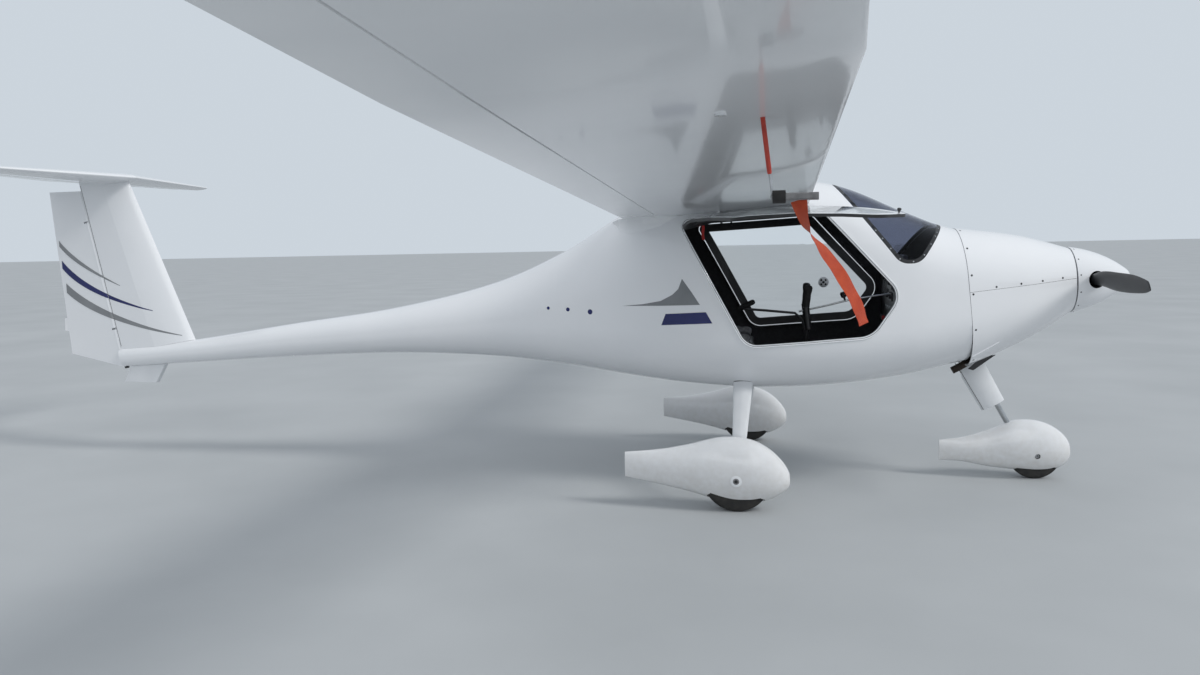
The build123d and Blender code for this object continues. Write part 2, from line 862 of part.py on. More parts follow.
with BuildPart() as fin_blank:
    for height in (fin_bottom, fin_top):
        front = along(fin_low, fin_high, height)
        back = along(rudder_low, rudder_high, height)
        with BuildSketch(Plane(origin=(at(front), 0, height), x_dir=(-1, 0, 0), z_dir=(0, 0, 1))):
            plain_section(front - back, fin_thick)
    loft(ruled=True)

rudder_axis = Plane(
    origin=(at(hinge_low[0]), 0, hinge_low[1]),
    x_dir=(0, 1, 0),
    z_dir=(hinge_high[0] - hinge_low[0], 0, hinge_high[1] - hinge_low[1]),
)
rudder_span = (Vector(*hinge_high) - Vector(*hinge_low)).length
rudder_foot = Plane(
    origin=(at(hinge_low[0]), 0, hinge_low[1]),
    x_dir=(0, 1, 0),
    z_dir=(rudder_low[1] - hinge_low[1], 0, hinge_low[0] - rudder_low[0]),
)
with BuildPart(rudder_axis) as behind_rudder_hinge:
    with Locations((0, far / 2, 0)):
        Box(far, far, 2 * far)

with BuildPart() as rudder:
    add(fin_blank.part)
    add(behind_rudder_hinge.part, mode=Mode.INTERSECT)
    add(cone(rudder_axis, 0, rudder_span, rudder_nose_low, rudder_nose_high))
    split(bisect_by=rudder_foot, keep=Keep.TOP)
    split(bisect_by=Plane.XY.offset(rudder_top), keep=Keep.BOTTOM)
    for place in rudder_lugs:
        half_slot = rudder_lug_thick / 2 + hinge_play
        slot = rudder_nose_low + run_gap
        add(cone(rudder_axis, place - half_slot, place + half_slot, slot, slot), mode=Mode.SUBTRACT)
        half_bore = half_slot + deep
        add(cone(rudder_axis, place - half_bore, place + half_bore, bore, bore), mode=Mode.SUBTRACT)

cove_taper = (rudder_nose_low - rudder_nose_high) * cove_past / rudder_span
rudder_cove = cone(
    rudder_axis,
    -cove_past,
    rudder_span + cove_past,
    rudder_nose_low + move_gap + cove_taper,
    rudder_nose_high + move_gap - cove_taper,
)

with BuildPart() as stabilizer_half:
    for y, le, chord, thin in (
        (0, tail_le, tail_root_chord, 1),
        (tail_half_span - tail_cap, tail_tip_le, tail_tip_chord, 1),
        (tail_half_span, tail_tip_le - tail_cap, tail_tip_chord - 2 * tail_cap, tail_tip_thin),
    ):
        with BuildSketch(Plane(origin=(at(le), y, tail_z), x_dir=(-1, 0, 0), z_dir=(0, 1, 0))):
            plain_section(chord, tail_thick * thin)
    loft(ruled=True)

elevator_axis = Plane(origin=(at(elevator_x), 0, tail_z), x_dir=(1, 0, 0), z_dir=(0, 1, 0))


def behind_elevator(reach):
    """Block behind the elevator hinge, out to a distance from the middle plane."""
    return block((at(elevator_x) - far, 0, 0), (at(elevator_x), reach, 2 * far))


with BuildPart() as elevator:
    add(stabilizer_half.part)
    add(behind_elevator(elevator_half_span), mode=Mode.INTERSECT)
    add(cone(elevator_axis, 0, elevator_half_span, elevator_nose_root, elevator_nose_tip))
    bore_start = elevator_half_span - pin_reach - pin_play
    add(cone(elevator_axis, bore_start, elevator_half_span, bore, bore), mode=Mode.SUBTRACT)
    mirror(about=Plane.XZ)

with BuildPart() as stabilizer:
    add(stabilizer_half.part)
    add(behind_elevator(elevator_half_span + end_gap), mode=Mode.SUBTRACT)
    add(
        cone(
            elevator_axis,
            0,
            elevator_half_span + end_gap,
            elevator_nose_root + move_gap,
            elevator_nose_tip + move_gap,
        ),
        mode=Mode.SUBTRACT,
    )
    pin_start = elevator_half_span - pin_reach
    pin_end = elevator_half_span + end_gap + pin_reach
    add(cone(elevator_axis, pin_start, pin_end, surface_pin, surface_pin))
    mirror(about=Plane.XZ)

with BuildPart() as fin:
    add(fin_blank.part)
    add(behind_rudder_hinge.part, mode=Mode.SUBTRACT)
    add(rudder_cove, mode=Mode.SUBTRACT)
    add(hull_seat, mode=Mode.SUBTRACT)
    add(stabilizer.part, mode=Mode.SUBTRACT)
    split(bisect_by=Plane.XY.offset(tail_z), keep=Keep.BOTTOM)
    split(bisect_by=Plane.XY.offset(fin_foot), keep=Keep.TOP)
    lug_run = rudder_nose_low + move_gap + rudder_lug_root
    for place in rudder_lugs:
        half_lug = rudder_lug_thick / 2
        with BuildSketch(rudder_axis.offset(place - half_lug)):
            Circle(rudder_lug_radius)
            with Locations((0, -lug_run / 2)):
                Rectangle(2 * rudder_lug_radius, lug_run)
        extrude(amount=rudder_lug_thick)
        pin_half = half_lug + pin_reach
        add(cone(rudder_axis, place - pin_half, place + pin_half, surface_pin, surface_pin))

with BuildPart() as tail_boom:
    add(hull_outer)
    split(bisect_by=across(boom_split), keep=Keep.BOTTOM)
    add(behind_rudder_hinge.part, mode=Mode.SUBTRACT)
    add(rudder_cove, mode=Mode.SUBTRACT)

with BuildPart() as tail_bumper:
    with BuildSketch(side(bumper_thick / 2)):
        with BuildLine():
            Polyline(*bumper, close=True)
        make_face()
    extrude(amount=bumper_thick)
    add(hull_seat, mode=Mode.SUBTRACT)


# Main gear
def ellipse_loft(stations):
    """Solid through ellipses: each station is a plane and two half axes."""
    with BuildPart() as body:
        for plane, half_x, half_y in stations:
            with BuildSketch(plane):
                Ellipse(half_x, half_y)
        loft(ruled=True)
    return body.part


def leg_planes():
    """Planes across the left leg, each with the half axes of its section."""
    points = [Vector(at(station), y, height) for y, height, station, _, _ in leg_sections]
    last = len(points) - 1
    for i, (_, _, _, chord, thick) in enumerate(leg_sections):
        run = points[min(i + 1, last)] - points[max(i - 1, 0)]
        plane = Plane(origin=points[i], x_dir=(1, 0, 0), z_dir=(0, run.Y, run.Z))
        yield plane, chord / 2, thick / 2


wheel_y = track / 2
axle_point = (main_axle_x, leg_sections[-1][0], tyre_radius)
with BuildPart() as main_leg:
    add(ellipse_loft(leg_planes()))
    add(hull_seat, mode=Mode.SUBTRACT)
    add(rod(axle_point, (main_axle_x, wheel_y + axle_end, tyre_radius), axle_radius))
    add(rod(axle_point, (main_axle_x, wheel_y - hub_half - hub_play, tyre_radius), shoulder_radius))


def wheel_plane(centre):
    """Plane through an axle: its x runs along the axle, its y is a radius."""
    return Plane(origin=centre, x_dir=(0, 1, 0), z_dir=(-1, 0, 0))


def make_tyre(centre, radius, width, rim):
    """Tyre seated on a rim, with rounded shoulders."""
    with BuildPart() as body:
        with BuildSketch(wheel_plane(centre)) as outline:
            with Locations((0, (radius + rim) / 2)):
                Rectangle(width, radius - rim)
            fillet(outline.vertices().group_by(Axis.Y)[-1], radius=width * tyre_shoulder)
            fillet(outline.vertices().group_by(Axis.Y)[0], radius=width * tyre_bead)
        revolve(axis=Axis(origin=centre, direction=(0, 1, 0)))
    return body.part


def make_rim(centre, rim, width, bore):
    """Wheel rim of a band, a disc and a hub with a bore."""
    with BuildPart() as body:
        with BuildSketch(wheel_plane(centre)):
            with Locations((0, rim - rim_band / 2)):
                Rectangle(width, rim_band)
            with Locations((0, rim / 2)):
                Rectangle(rim_disc, rim - rim_band)
            with Locations((0, hub_shell / 2 + bore / 2)):
                Rectangle(2 * hub_half, hub_shell + bore)
            with Locations((0, bore / 2)):
                Rectangle(3 * hub_half, bore, mode=Mode.SUBTRACT)
        revolve(axis=Axis(origin=centre, direction=(0, 1, 0)))
    return body.part


def pant_stations(sections, y, inset):
    """Planes across a wheel cover with half axes of its sections; an inset leaves the ends out."""
    rows = list(eased(sections, pant_steps))
    for station, top, bottom, half in rows[1:-1] if inset else rows:
        plane = Plane(origin=(at(station), y, (top + bottom) / 2), x_dir=(0, 1, 0), z_dir=(1, 0, 0))
        yield plane, half - inset, (top - bottom) / 2 - inset


def make_pant(sections, centre, radius, width):
    """Hollow wheel cover, open below round the tyre."""
    with BuildPart() as body:
        add(ellipse_loft(pant_stations(sections, centre[1], 0)))
        add(ellipse_loft(pant_stations(sections, centre[1], pant_wall)), mode=Mode.SUBTRACT)
        room = Plane(origin=centre, x_dir=(1, 0, 0), z_dir=(0, 1, 0))
        with BuildSketch(room):
            Circle(radius + move_gap)
        extrude(amount=width / 2 + move_gap, both=True, mode=Mode.SUBTRACT)
    return body.part


wheel_left_centre = (main_axle_x, wheel_y, tyre_radius)
tyre_left = make_tyre(wheel_left_centre, tyre_radius, tyre_width, rim_radius)
rim_left = make_rim(wheel_left_centre, rim_radius, rim_width, axle_radius + run_gap)
with BuildPart() as pant_left:
    add(make_pant(pant_sections, wheel_left_centre, tyre_radius, tyre_width))
    add(main_leg.part, mode=Mode.SUBTRACT)

# Nose gear
strut_line = Plane(
    origin=(at(strut_x), 0, strut_z),
    x_dir=(0, 1, 0),
    z_dir=(-sin(radians(strut_rake)), 0, cos(radians(strut_rake))),
)
strut_foot = strut_line.origin - strut_line.z_dir * strut_down
nose_centre = (at(wheelbase), 0, nose_tyre_radius)

with BuildPart() as nose_fork:
    with BuildSketch(strut_line.offset(-strut_down)):
        Circle(strut_radius)
    extrude(amount=strut_down + strut_up)
    arm_x = (strut_foot.X + nose_centre[0]) / 2 - main_axle_x
    arm_z = (strut_foot.Z + nose_centre[2]) / 2
    for y in (-fork_inside, fork_inside + fork_plate):
        with BuildSketch(side(y)):
            SlotCenterPoint((arm_x, arm_z), (wheelbase, nose_tyre_radius), fork_width)
        extrude(amount=fork_plate)
    crown_end = Vector(0, fork_inside + fork_plate, 0)
    add(rod(strut_foot - crown_end, strut_foot + crown_end, crown_radius))
    axle_from = (nose_centre[0], -nose_axle_end, nose_centre[2])
    axle_to = (nose_centre[0], nose_axle_end, nose_centre[2])
    add(rod(axle_from, axle_to, nose_axle_radius))
    bore_from = (nose_centre[0], nose_axle_end - tow_bore_depth, nose_centre[2])
    add(rod(bore_from, axle_to, tow_bore), mode=Mode.SUBTRACT)
    add(mirrored(rod(bore_from, axle_to, tow_bore)), mode=Mode.SUBTRACT)

with BuildPart() as nose_leg:
    with BuildSketch(strut_line):
        with Locations((0, -fairing_back)):
            Ellipse(fairing_thick / 2, fairing_chord_low / 2)
    with BuildSketch(strut_line.offset(fairing_up)):
        with Locations((0, -fairing_back)):
            Ellipse(fairing_thick / 2, fairing_chord_high / 2)
    loft(ruled=True)
    split(bisect_by=seam_plane, keep=Keep.TOP)
    strut_head = strut_line.origin + strut_line.z_dir * (strut_up + strut_play)
    add(rod(strut_foot, strut_head, strut_radius + run_gap), mode=Mode.SUBTRACT)

nose_tyre = make_tyre(nose_centre, nose_tyre_radius, nose_tyre_width, nose_rim_radius)
nose_rim = make_rim(nose_centre, nose_rim_radius, nose_rim_width, nose_axle_radius + run_gap)
with BuildPart() as nose_pant:
    add(make_pant(nose_pant_sections, nose_centre, nose_tyre_radius, nose_tyre_width))
    with BuildSketch(strut_line.offset(-strut_down)):
        Circle(strut_radius + seat_gap)
    extrude(amount=strut_down + strut_up, mode=Mode.SUBTRACT)
    with BuildSketch(side()):
        with Locations((wheelbase, nose_tyre_radius)):
            Circle(tow_hole)
    extrude(amount=far, both=True, mode=Mode.SUBTRACT)

# Cabin furniture
hull_lining = body_loft(hull_sections, wall + seat_gap)
with BuildPart() as instrument_panel:
    add(hull_lining)
    panel_front = at(panel_station) + panel_thick
    add(
        block((at(panel_station), -far, panel_low), (panel_front, far, panel_high)),
        mode=Mode.INTERSECT,
    )

with BuildPart() as cabin_floor:
    add(hull_lining)
    add(
        block((at(floor_back), -far, floor_z - floor_thick), (at(floor_front), far, floor_z)),
        mode=Mode.INTERSECT,
    )

with BuildPart() as seat_left:
    with BuildSketch(side(seat_y + seat_width / 2)):
        with BuildLine():
            Polyline(*[(x, floor_z + z) for x, z in seat_back + seat_pan], close=True)
        make_face()
    extrude(amount=seat_width)
    add(hull_lining, mode=Mode.INTERSECT)

with BuildPart() as spar_tube:
    with BuildSketch(side(far)):
        with Locations((spar_station, spar_z)):
            Circle(spar_radius)
    extrude(amount=2 * far)
    add(hull_lining, mode=Mode.INTERSECT)

with BuildPart() as control_stick:
    stick_foot = Vector(at(stick_station), 0, floor_z)
    stick_top = stick_foot + Vector(stick_lean, 0, stick_height)
    add(rod(stick_foot, stick_top, stick_radius))
    for y in (-grip_y, grip_y):
        grip_foot = stick_top + Vector(0, y, 0)
        add(rod(stick_top - Vector(0, 0, arm_drop), grip_foot + Vector(0, 0, arm_rise), arm_radius))
        add(rod(grip_foot, grip_foot + Vector(-grip_lean, 0, grip_length), grip_radius))
    split(bisect_by=Plane.XY.offset(floor_z), keep=Keep.TOP)


# Pitot probe with its cover and ribbon
def pitot_rod(radius):
    """The probe's rod, down from the wing and then forward."""
    with BuildPart() as body:
        with BuildLine(side(pitot_y)) as path:
            FilletPolyline(
                (pitot_x, pitot_tube_z + pitot_rise),
                (pitot_tube_x, pitot_tube_z),
                (pitot_end, pitot_tube_z),
                radius=pitot_bend,
            )
        with BuildSketch(Plane(origin=path.edges()[0] @ 0, z_dir=path.edges()[0] % 0)):
            Circle(radius)
        sweep(path=path.edges())
    return body.part


with BuildPart() as pitot_probe:
    add(pitot_rod(pitot_rod_radius))
    add(mirrored(wing_left.part), mode=Mode.SUBTRACT)

with BuildPart() as pitot_cover:
    with BuildSketch(across(cover_start)):
        with Locations((pitot_y, pitot_tube_z)):
            RectangleRounded(cover_width, cover_height, cover_corner)
    extrude(amount=cover_end - cover_start)
    add(pitot_rod(pitot_rod_radius + seat_gap), mode=Mode.SUBTRACT)

with BuildPart() as pitot_ribbon:
    with BuildSketch(side(pitot_y + ribbon_width / 2)):
        with BuildLine():
            Polyline(*ribbon_route)
        trace(line_width=ribbon_thick)
    extrude(amount=ribbon_width)

pieces = {
    "cabin_shell": cabin_shell.part,
    "windshield": windshield.part,
    "cabin_floor": cabin_floor.part,
    "instrument_panel": instrument_panel.part,
    "seat_left": seat_left.part,
    "seat_right": mirrored(seat_left.part),
    "control_stick": control_stick.part,
    "spar_tube": spar_tube.part,
    "cowl_upper": cowl_upper.part,
    "cowl_lower": cowl_lower.part,
    "engine_block": engine_block.part,
    "exhaust_pipe": exhaust_pipe.part,
    "spinner": spinner.part,
    "prop_blades": prop_blades.part,
    "tail_boom": tail_boom.part,
    "fin": fin.part,
    "rudder": rudder.part,
    "stabilizer": stabilizer.part,
    "elevator": elevator.part,
    "tail_bumper": tail_bumper.part,
    "wing_left": wing_left.part,
    "wing_right": mirrored(wing_left.part),
    "flaperon_left": flaperon_left.part,
    "flaperon_right": mirrored(flaperon_left.part),
    "door_left_frame": door_frame.part,
    "door_left_glass": door_glass.part,
    "door_right_frame": door_right_frame,
    "door_right_glass": door_right_glass,
    "door_hinges": door_hinges.part,
    "main_leg_left": main_leg.part,
    "main_leg_right": mirrored(main_leg.part),
    "pant_left": pant_left.part,
    "pant_right": mirrored(pant_left.part),
    "tyre_left": tyre_left,
    "tyre_right": mirrored(tyre_left),
    "rim_left": rim_left,
    "rim_right": mirrored(rim_left),
    "nose_leg": nose_leg.part,
    "nose_fork": nose_fork.part,
    "nose_pant": nose_pant.part,
    "nose_tyre": nose_tyre,
    "nose_rim": nose_rim,
    "pitot_probe": pitot_probe.part,
    "pitot_cover": pitot_cover.part,
    "pitot_ribbon": pitot_ribbon.part,
}

os.makedirs("parts", exist_ok=True)
for name, piece in pieces.items():
    piece.label = name
    export_step(piece, f"parts/{name}.step")
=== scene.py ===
"""Looks of the parked ultralight aircraft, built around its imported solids.

Metres, +X forward, +Y to the left wing, +Z up. Tables are in millimetres, and stations are measured
forward of the main axle, as on a workshop drawing.
"""

from math import atan2, cos, pi, radians, sin, sqrt, tan

import bmesh
import bpy
from mathutils import Matrix, Vector
from mathutils.bvhtree import BVHTree


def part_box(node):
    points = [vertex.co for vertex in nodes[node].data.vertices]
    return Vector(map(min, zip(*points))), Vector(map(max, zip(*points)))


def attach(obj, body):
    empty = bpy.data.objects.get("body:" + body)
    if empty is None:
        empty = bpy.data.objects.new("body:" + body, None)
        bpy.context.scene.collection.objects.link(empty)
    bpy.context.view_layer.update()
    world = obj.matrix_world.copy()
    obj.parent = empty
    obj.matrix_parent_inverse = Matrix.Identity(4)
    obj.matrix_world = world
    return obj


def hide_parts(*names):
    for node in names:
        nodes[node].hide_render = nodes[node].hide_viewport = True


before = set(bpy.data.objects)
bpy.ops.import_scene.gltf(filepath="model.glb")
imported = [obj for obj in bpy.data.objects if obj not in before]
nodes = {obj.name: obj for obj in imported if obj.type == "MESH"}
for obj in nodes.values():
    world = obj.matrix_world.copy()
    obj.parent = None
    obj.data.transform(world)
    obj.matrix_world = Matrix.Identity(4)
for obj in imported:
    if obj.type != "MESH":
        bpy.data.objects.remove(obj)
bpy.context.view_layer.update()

MM = 0.001
wheel_low, wheel_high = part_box("tyre_left")
axle_x = (wheel_low.x + wheel_high.x) / 2


def at(station):
    """Global X of a station in millimetres."""
    return axle_x + station * MM


def place(station, y, z):
    """Point from millimetres."""
    return Vector((at(station), y * MM, z * MM))


def slanting(degrees):
    """Direction forward that is turned up by an angle in the side view."""
    return Vector((cos(radians(degrees)), 0, sin(radians(degrees))))


# Camera and light
scene = bpy.context.scene
scene.view_settings.view_transform = "Standard"


def link(name, data):
    """Object of some data, linked to the scene."""
    obj = bpy.data.objects.new(name, data)
    scene.collection.objects.link(obj)
    return obj


def axes(origin, *directions):
    """Matrix that moves the origin and turns the three axes to these directions."""
    return Matrix.Translation(origin) @ Matrix(directions).transposed().to_4x4()


camera_data = bpy.data.cameras.new("camera")
camera_data.lens = 27.33
camera_data.sensor_width = 36.0
camera_data.sensor_fit = "HORIZONTAL"
camera_data.clip_start = 0.05
camera_data.clip_end = 200.0
scene.camera = link("camera", camera_data)
# Turn to the left, tilt down and roll, in radians
yaw, pitch, roll = 0.1918, 0.1017, -0.0197
ahead = Vector((-sin(yaw) * cos(pitch), cos(yaw) * cos(pitch), -sin(pitch)))
level = Vector((cos(yaw), sin(yaw), 0))
upright = level.cross(ahead)
right = level * cos(roll) + upright * sin(roll)
above = upright * cos(roll) - level * sin(roll)
camera_place = place(186.2, -5168.4, 1297)
scene.camera.matrix_world = axes(camera_place, right, above, -ahead)


def lamp(name, kind, energy, location, target, size, color=(1, 1, 1)):
    """Lamp that looks at a target."""
    data = bpy.data.lights.new(name, kind)
    data.energy = energy
    data.color = color
    if kind == "AREA":
        data.shape = "DISK"
        data.size = size
    else:
        data.angle = size
    made = link(name, data)
    made.location = location
    made.rotation_euler = (Vector(target) - Vector(location)).to_track_quat("-Z", "Y").to_euler()
    return made


# The sun shows in no gloss, so that its image doesn't burn out on the white skin
sun = lamp("sun", "SUN", 1.5, (11.5, -3.0, 9.0), (0, 0, 0), size=0.25, color=(1, 0.985, 0.96))
sun.visible_glossy = False
lamp("side", "AREA", 620, (1.5, -17.0, 10.0), (0, 0, 1.0), size=17.0)


def feed(tree, node, inputs):
    """Sets inputs of a node to values, or links them to outputs of other nodes."""
    for key, value in inputs.items():
        if isinstance(value, bpy.types.NodeSocket):
            tree.links.new(value, node.inputs[key])
        else:
            node.inputs[key].default_value = value


def add_node(tree, kind, inputs=None, operation=None):
    """New shader node with its inputs, and the operation of a maths node."""
    node = tree.nodes.new("ShaderNode" + kind)
    if operation:
        node.operation = operation
    feed(tree, node, inputs or {})
    return node


# World: soft fill light, and a pale background for the camera, gloss and glass
world = bpy.data.worlds.new("studio")
scene.world = world
world.use_nodes = True
tree = world.node_tree
tree.nodes.clear()
rays = add_node(tree, "LightPath").outputs
either = add_node(tree, "Math", {0: rays["Is Camera Ray"], 1: rays["Is Glossy Ray"]}, "MAXIMUM")
any_ray = add_node(tree, "Math", {0: either.outputs[0], 1: rays["Is Transmission Ray"]}, "MAXIMUM")
fill = add_node(tree, "Background", {"Color": (0.86, 0.92, 1.0, 1), "Strength": 0.60})
seen = add_node(tree, "Background", {"Color": (0.60, 0.66, 0.72, 1), "Strength": 1.0})
mix = add_node(tree, "MixShader", {0: any_ray.outputs[0], 1: fill.outputs[0], 2: seen.outputs[0]})
add_node(tree, "OutputWorld", {0: mix.outputs[0]})


# Materials
def surface(name, dark, light, rough, scale, metal=0.0, coat=0.0, bump=0.0, bump_scale=200.0, weave=0.0,
            sheen=0.0, glass=0.0, ior=1.49):
    """Procedural material: noise between two colours and two roughnesses, with fine bump or weave."""
    material = bpy.data.materials.new(name)
    material.use_nodes = True
    tree = material.node_tree
    where = add_node(tree, "TexCoord").outputs["Object"]
    noise = add_node(tree, "TexNoise", {"Vector": where, "Scale": scale, "Detail": 4.0}).outputs["Fac"]
    ramp = add_node(tree, "ValToRGB", {0: noise})
    for element, position, color in zip(ramp.color_ramp.elements, (0.3, 0.7), (dark, light)):
        element.position = position
        element.color = (*color, 1)
    gloss = add_node(tree, "MapRange", {"Value": noise, "To Min": rough[0], "To Max": rough[1]})
    inputs = {
        "Base Color": ramp.outputs[0], "Roughness": gloss.outputs[0], "Metallic": metal, "IOR": ior,
        "Coat Weight": coat, "Coat Roughness": 0.06, "Sheen Weight": sheen, "Transmission Weight": glass,
    }
    if bump:
        if weave:
            source = add_node(tree, "TexWave", {"Vector": where, "Scale": weave, "Distortion": 1.5})
            source.wave_type = "BANDS"
            source.bands_direction = "DIAGONAL"
        else:
            source = add_node(tree, "TexNoise", {"Vector": where, "Scale": bump_scale, "Detail": 3.0})
        relief = add_node(tree, "Bump", {"Strength": bump, "Distance": 0.001})
        feed(tree, relief, {"Height": source.outputs["Fac"]})
        inputs["Normal"] = relief.outputs[0]
    feed(tree, tree.nodes["Principled BSDF"], inputs)
    return material


def gelcoat(name, low=0.0, high=0.0):
    """Glossy white skin, darker and browner in spots towards the bottom, fading out between two heights."""
    material = surface(name, (0.80, 0.815, 0.835), (0.835, 0.845, 0.86), (0.16, 0.24), 1.7, coat=0.6,
                       bump=0.02, bump_scale=9.0)
    if high > low:
        tree = material.node_tree
        shader = tree.nodes["Principled BSDF"]
        clean = shader.inputs["Base Color"].links[0].from_socket
        where = add_node(tree, "TexCoord").outputs["Object"]
        height = add_node(tree, "SeparateXYZ", {0: where}).outputs["Z"]
        fade = add_node(tree, "MapRange", {"Value": height, "From Min": low, "From Max": high,
                                           "To Min": 0.55, "To Max": 0.0})
        spots = add_node(tree, "TexNoise", {"Vector": where, "Scale": 34.0, "Detail": 6.0})
        amount = add_node(tree, "Math", {0: fade.outputs[0], 1: spots.outputs["Fac"]}, "MULTIPLY")
        # Mixes brown into the white in spots, more towards the bottom
        browned = add_node(tree, "MixRGB", {"Fac": amount.outputs[0], "Color1": clean,
                                          "Color2": (0.42, 0.37, 0.29, 1)})
        feed(tree, shader, {"Base Color": browned.outputs[0]})
    return material


white = gelcoat("white_gelcoat")
bottom_browned_white = gelcoat("bottom_browned_gelcoat", 0.02, 0.42)
leg_white = surface("leg_white", (0.70, 0.72, 0.74), (0.76, 0.775, 0.79), (0.3, 0.42), 9)
lining = surface("black_lining", (0.012, 0.012, 0.013), (0.028, 0.028, 0.03), (0.75, 0.95), 60, bump=0.25,
                 bump_scale=900, sheen=0.2)
trim_black = surface("trim_black", (0.014, 0.014, 0.015), (0.03, 0.03, 0.032), (0.3, 0.5), 20, bump=0.05,
                     bump_scale=300)
# Black rubber of the seals; also painted shade in the door lip groove, the rudder's gap and the vent holes
seal_rubber_and_shade = surface("seal_rubber_and_shade", (0.012, 0.012, 0.012), (0.03, 0.029, 0.028), (0.6, 0.8), 50, bump=0.15,
                      bump_scale=400)
seat_cloth = surface("seat_cloth", (0.025, 0.026, 0.03), (0.055, 0.056, 0.062), (0.8, 0.95), 80, bump=0.5,
                     weave=320, sheen=0.35)
carbon = surface("blade_carbon", (0.012, 0.013, 0.015), (0.026, 0.027, 0.03), (0.36, 0.5), 14, coat=0.1,
                 bump=0.04, bump_scale=160)
tyre_rubber = surface("tyre_rubber", (0.014, 0.014, 0.014), (0.045, 0.042, 0.038), (0.7, 0.9), 28, bump=0.3,
                      bump_scale=260)
alloy = surface("rim_alloy", (0.42, 0.43, 0.45), (0.58, 0.59, 0.61), (0.28, 0.45), 30, metal=1.0, bump=0.05,
                bump_scale=400)
steel = surface("bare_steel", (0.36, 0.37, 0.38), (0.52, 0.53, 0.54), (0.22, 0.38), 40, metal=1.0,
                bump=0.04, bump_scale=300)
rusty_steel = surface("exhaust_steel", (0.022, 0.018, 0.016), (0.07, 0.055, 0.045), (0.45, 0.7), 22,
                      metal=0.9, bump=0.2, bump_scale=180)
engine_paint = surface("engine_grey", (0.03, 0.03, 0.032), (0.07, 0.07, 0.075), (0.5, 0.7), 25, bump=0.2,
                       bump_scale=150)
foam = surface("grip_foam", (0.012, 0.012, 0.012), (0.028, 0.028, 0.028), (0.85, 0.97), 90, bump=0.4,
               bump_scale=1200)
tinted = surface("tinted_glazing", (0.36, 0.38, 0.45), (0.41, 0.43, 0.51), (0.02, 0.05), 2, glass=1.0,
                 ior=1.2)
clear = surface("clear_glazing", (0.93, 0.95, 0.96), (0.96, 0.98, 0.98), (0.01, 0.04), 2, glass=1.0,
                ior=1.15)
navy = surface("navy_film", (0.012, 0.017, 0.10), (0.018, 0.025, 0.135), (0.2, 0.3), 5)
grey_film = surface("grey_film", (0.20, 0.21, 0.22), (0.26, 0.27, 0.28), (0.2, 0.3), 5)
red_paint = surface("pitot_red", (0.42, 0.035, 0.02), (0.55, 0.06, 0.035), (0.35, 0.5), 30)
cover_grey = surface("cover_grey", (0.16, 0.16, 0.165), (0.27, 0.27, 0.275), (0.8, 0.95), 60, bump=0.5,
                     weave=700, sheen=0.3)
orange_cloth = surface("ribbon_orange", (0.48, 0.05, 0.014), (0.60, 0.085, 0.024), (0.6, 0.8), 40, bump=0.5,
                       weave=900, sheen=0.1)
ground = surface("floor", (0.44, 0.46, 0.47), (0.50, 0.52, 0.53), (0.7, 0.9), 0.8, bump=0.04, bump_scale=30)
belt_grey = surface("belt_webbing", (0.05, 0.05, 0.055), (0.10, 0.10, 0.11), (0.75, 0.9), 90, bump=0.5,
                    weave=900, sheen=0.2)
belt_red = surface("red_webbing", (0.30, 0.012, 0.012), (0.42, 0.022, 0.02), (0.75, 0.9), 90, bump=0.5,
                   weave=900, sheen=0.2)
dial_black = surface("dial_face", (0.010, 0.010, 0.011), (0.018, 0.018, 0.019), (0.5, 0.6), 30)
dial_white = surface("dial_marks", (0.72, 0.72, 0.70), (0.80, 0.80, 0.78), (0.5, 0.6), 30)
screen_glass = surface("screen_glass", (0.02, 0.026, 0.032), (0.035, 0.042, 0.05), (0.05, 0.12), 6, coat=0.8)
bezel_grey = surface("bezel", (0.05, 0.05, 0.052), (0.09, 0.09, 0.094), (0.35, 0.5), 40, bump=0.05,
                     bump_scale=500)


def paint(obj, *materials):
    """Gives an object these materials, in order."""
    obj.data.materials.clear()
    for material in materials:
        obj.data.materials.append(material)


def new_mesh(name, verts, faces, material=None, body=None, **options):
    """Mesh object from vertices and faces. Without a body it is a cutter or isn't finished yet."""
    data = bpy.data.meshes.new(name)
    data.from_pydata([tuple(v) for v in verts], [], faces)
    data.validate()
    obj = link(name, data)
    finish_piece(obj, material, body, **options)
    return obj


def finish_piece(obj, material=None, body="airframe", smooth=True, slot=None, replaces=()):
    """Material, shading, body and replaced nodes of a piece; the slot is not used."""
    if material:
        paint(obj, material)
    if smooth:
        for polygon in obj.data.polygons:
            polygon.use_smooth = True
        obj.data.set_sharp_from_angle(angle=radians(35))
    if body:
        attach(obj, body)
    if replaces:
        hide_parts(*replaces)


# Floor
floor_size = 400.0
floor = new_mesh(
    "floor",
    [(x * floor_size, y * floor_size, -0.0005) for x, y in ((-1, -1), (1, -1), (1, 1), (-1, 1))],
    [(0, 1, 2, 3)], ground, smooth=False,
)

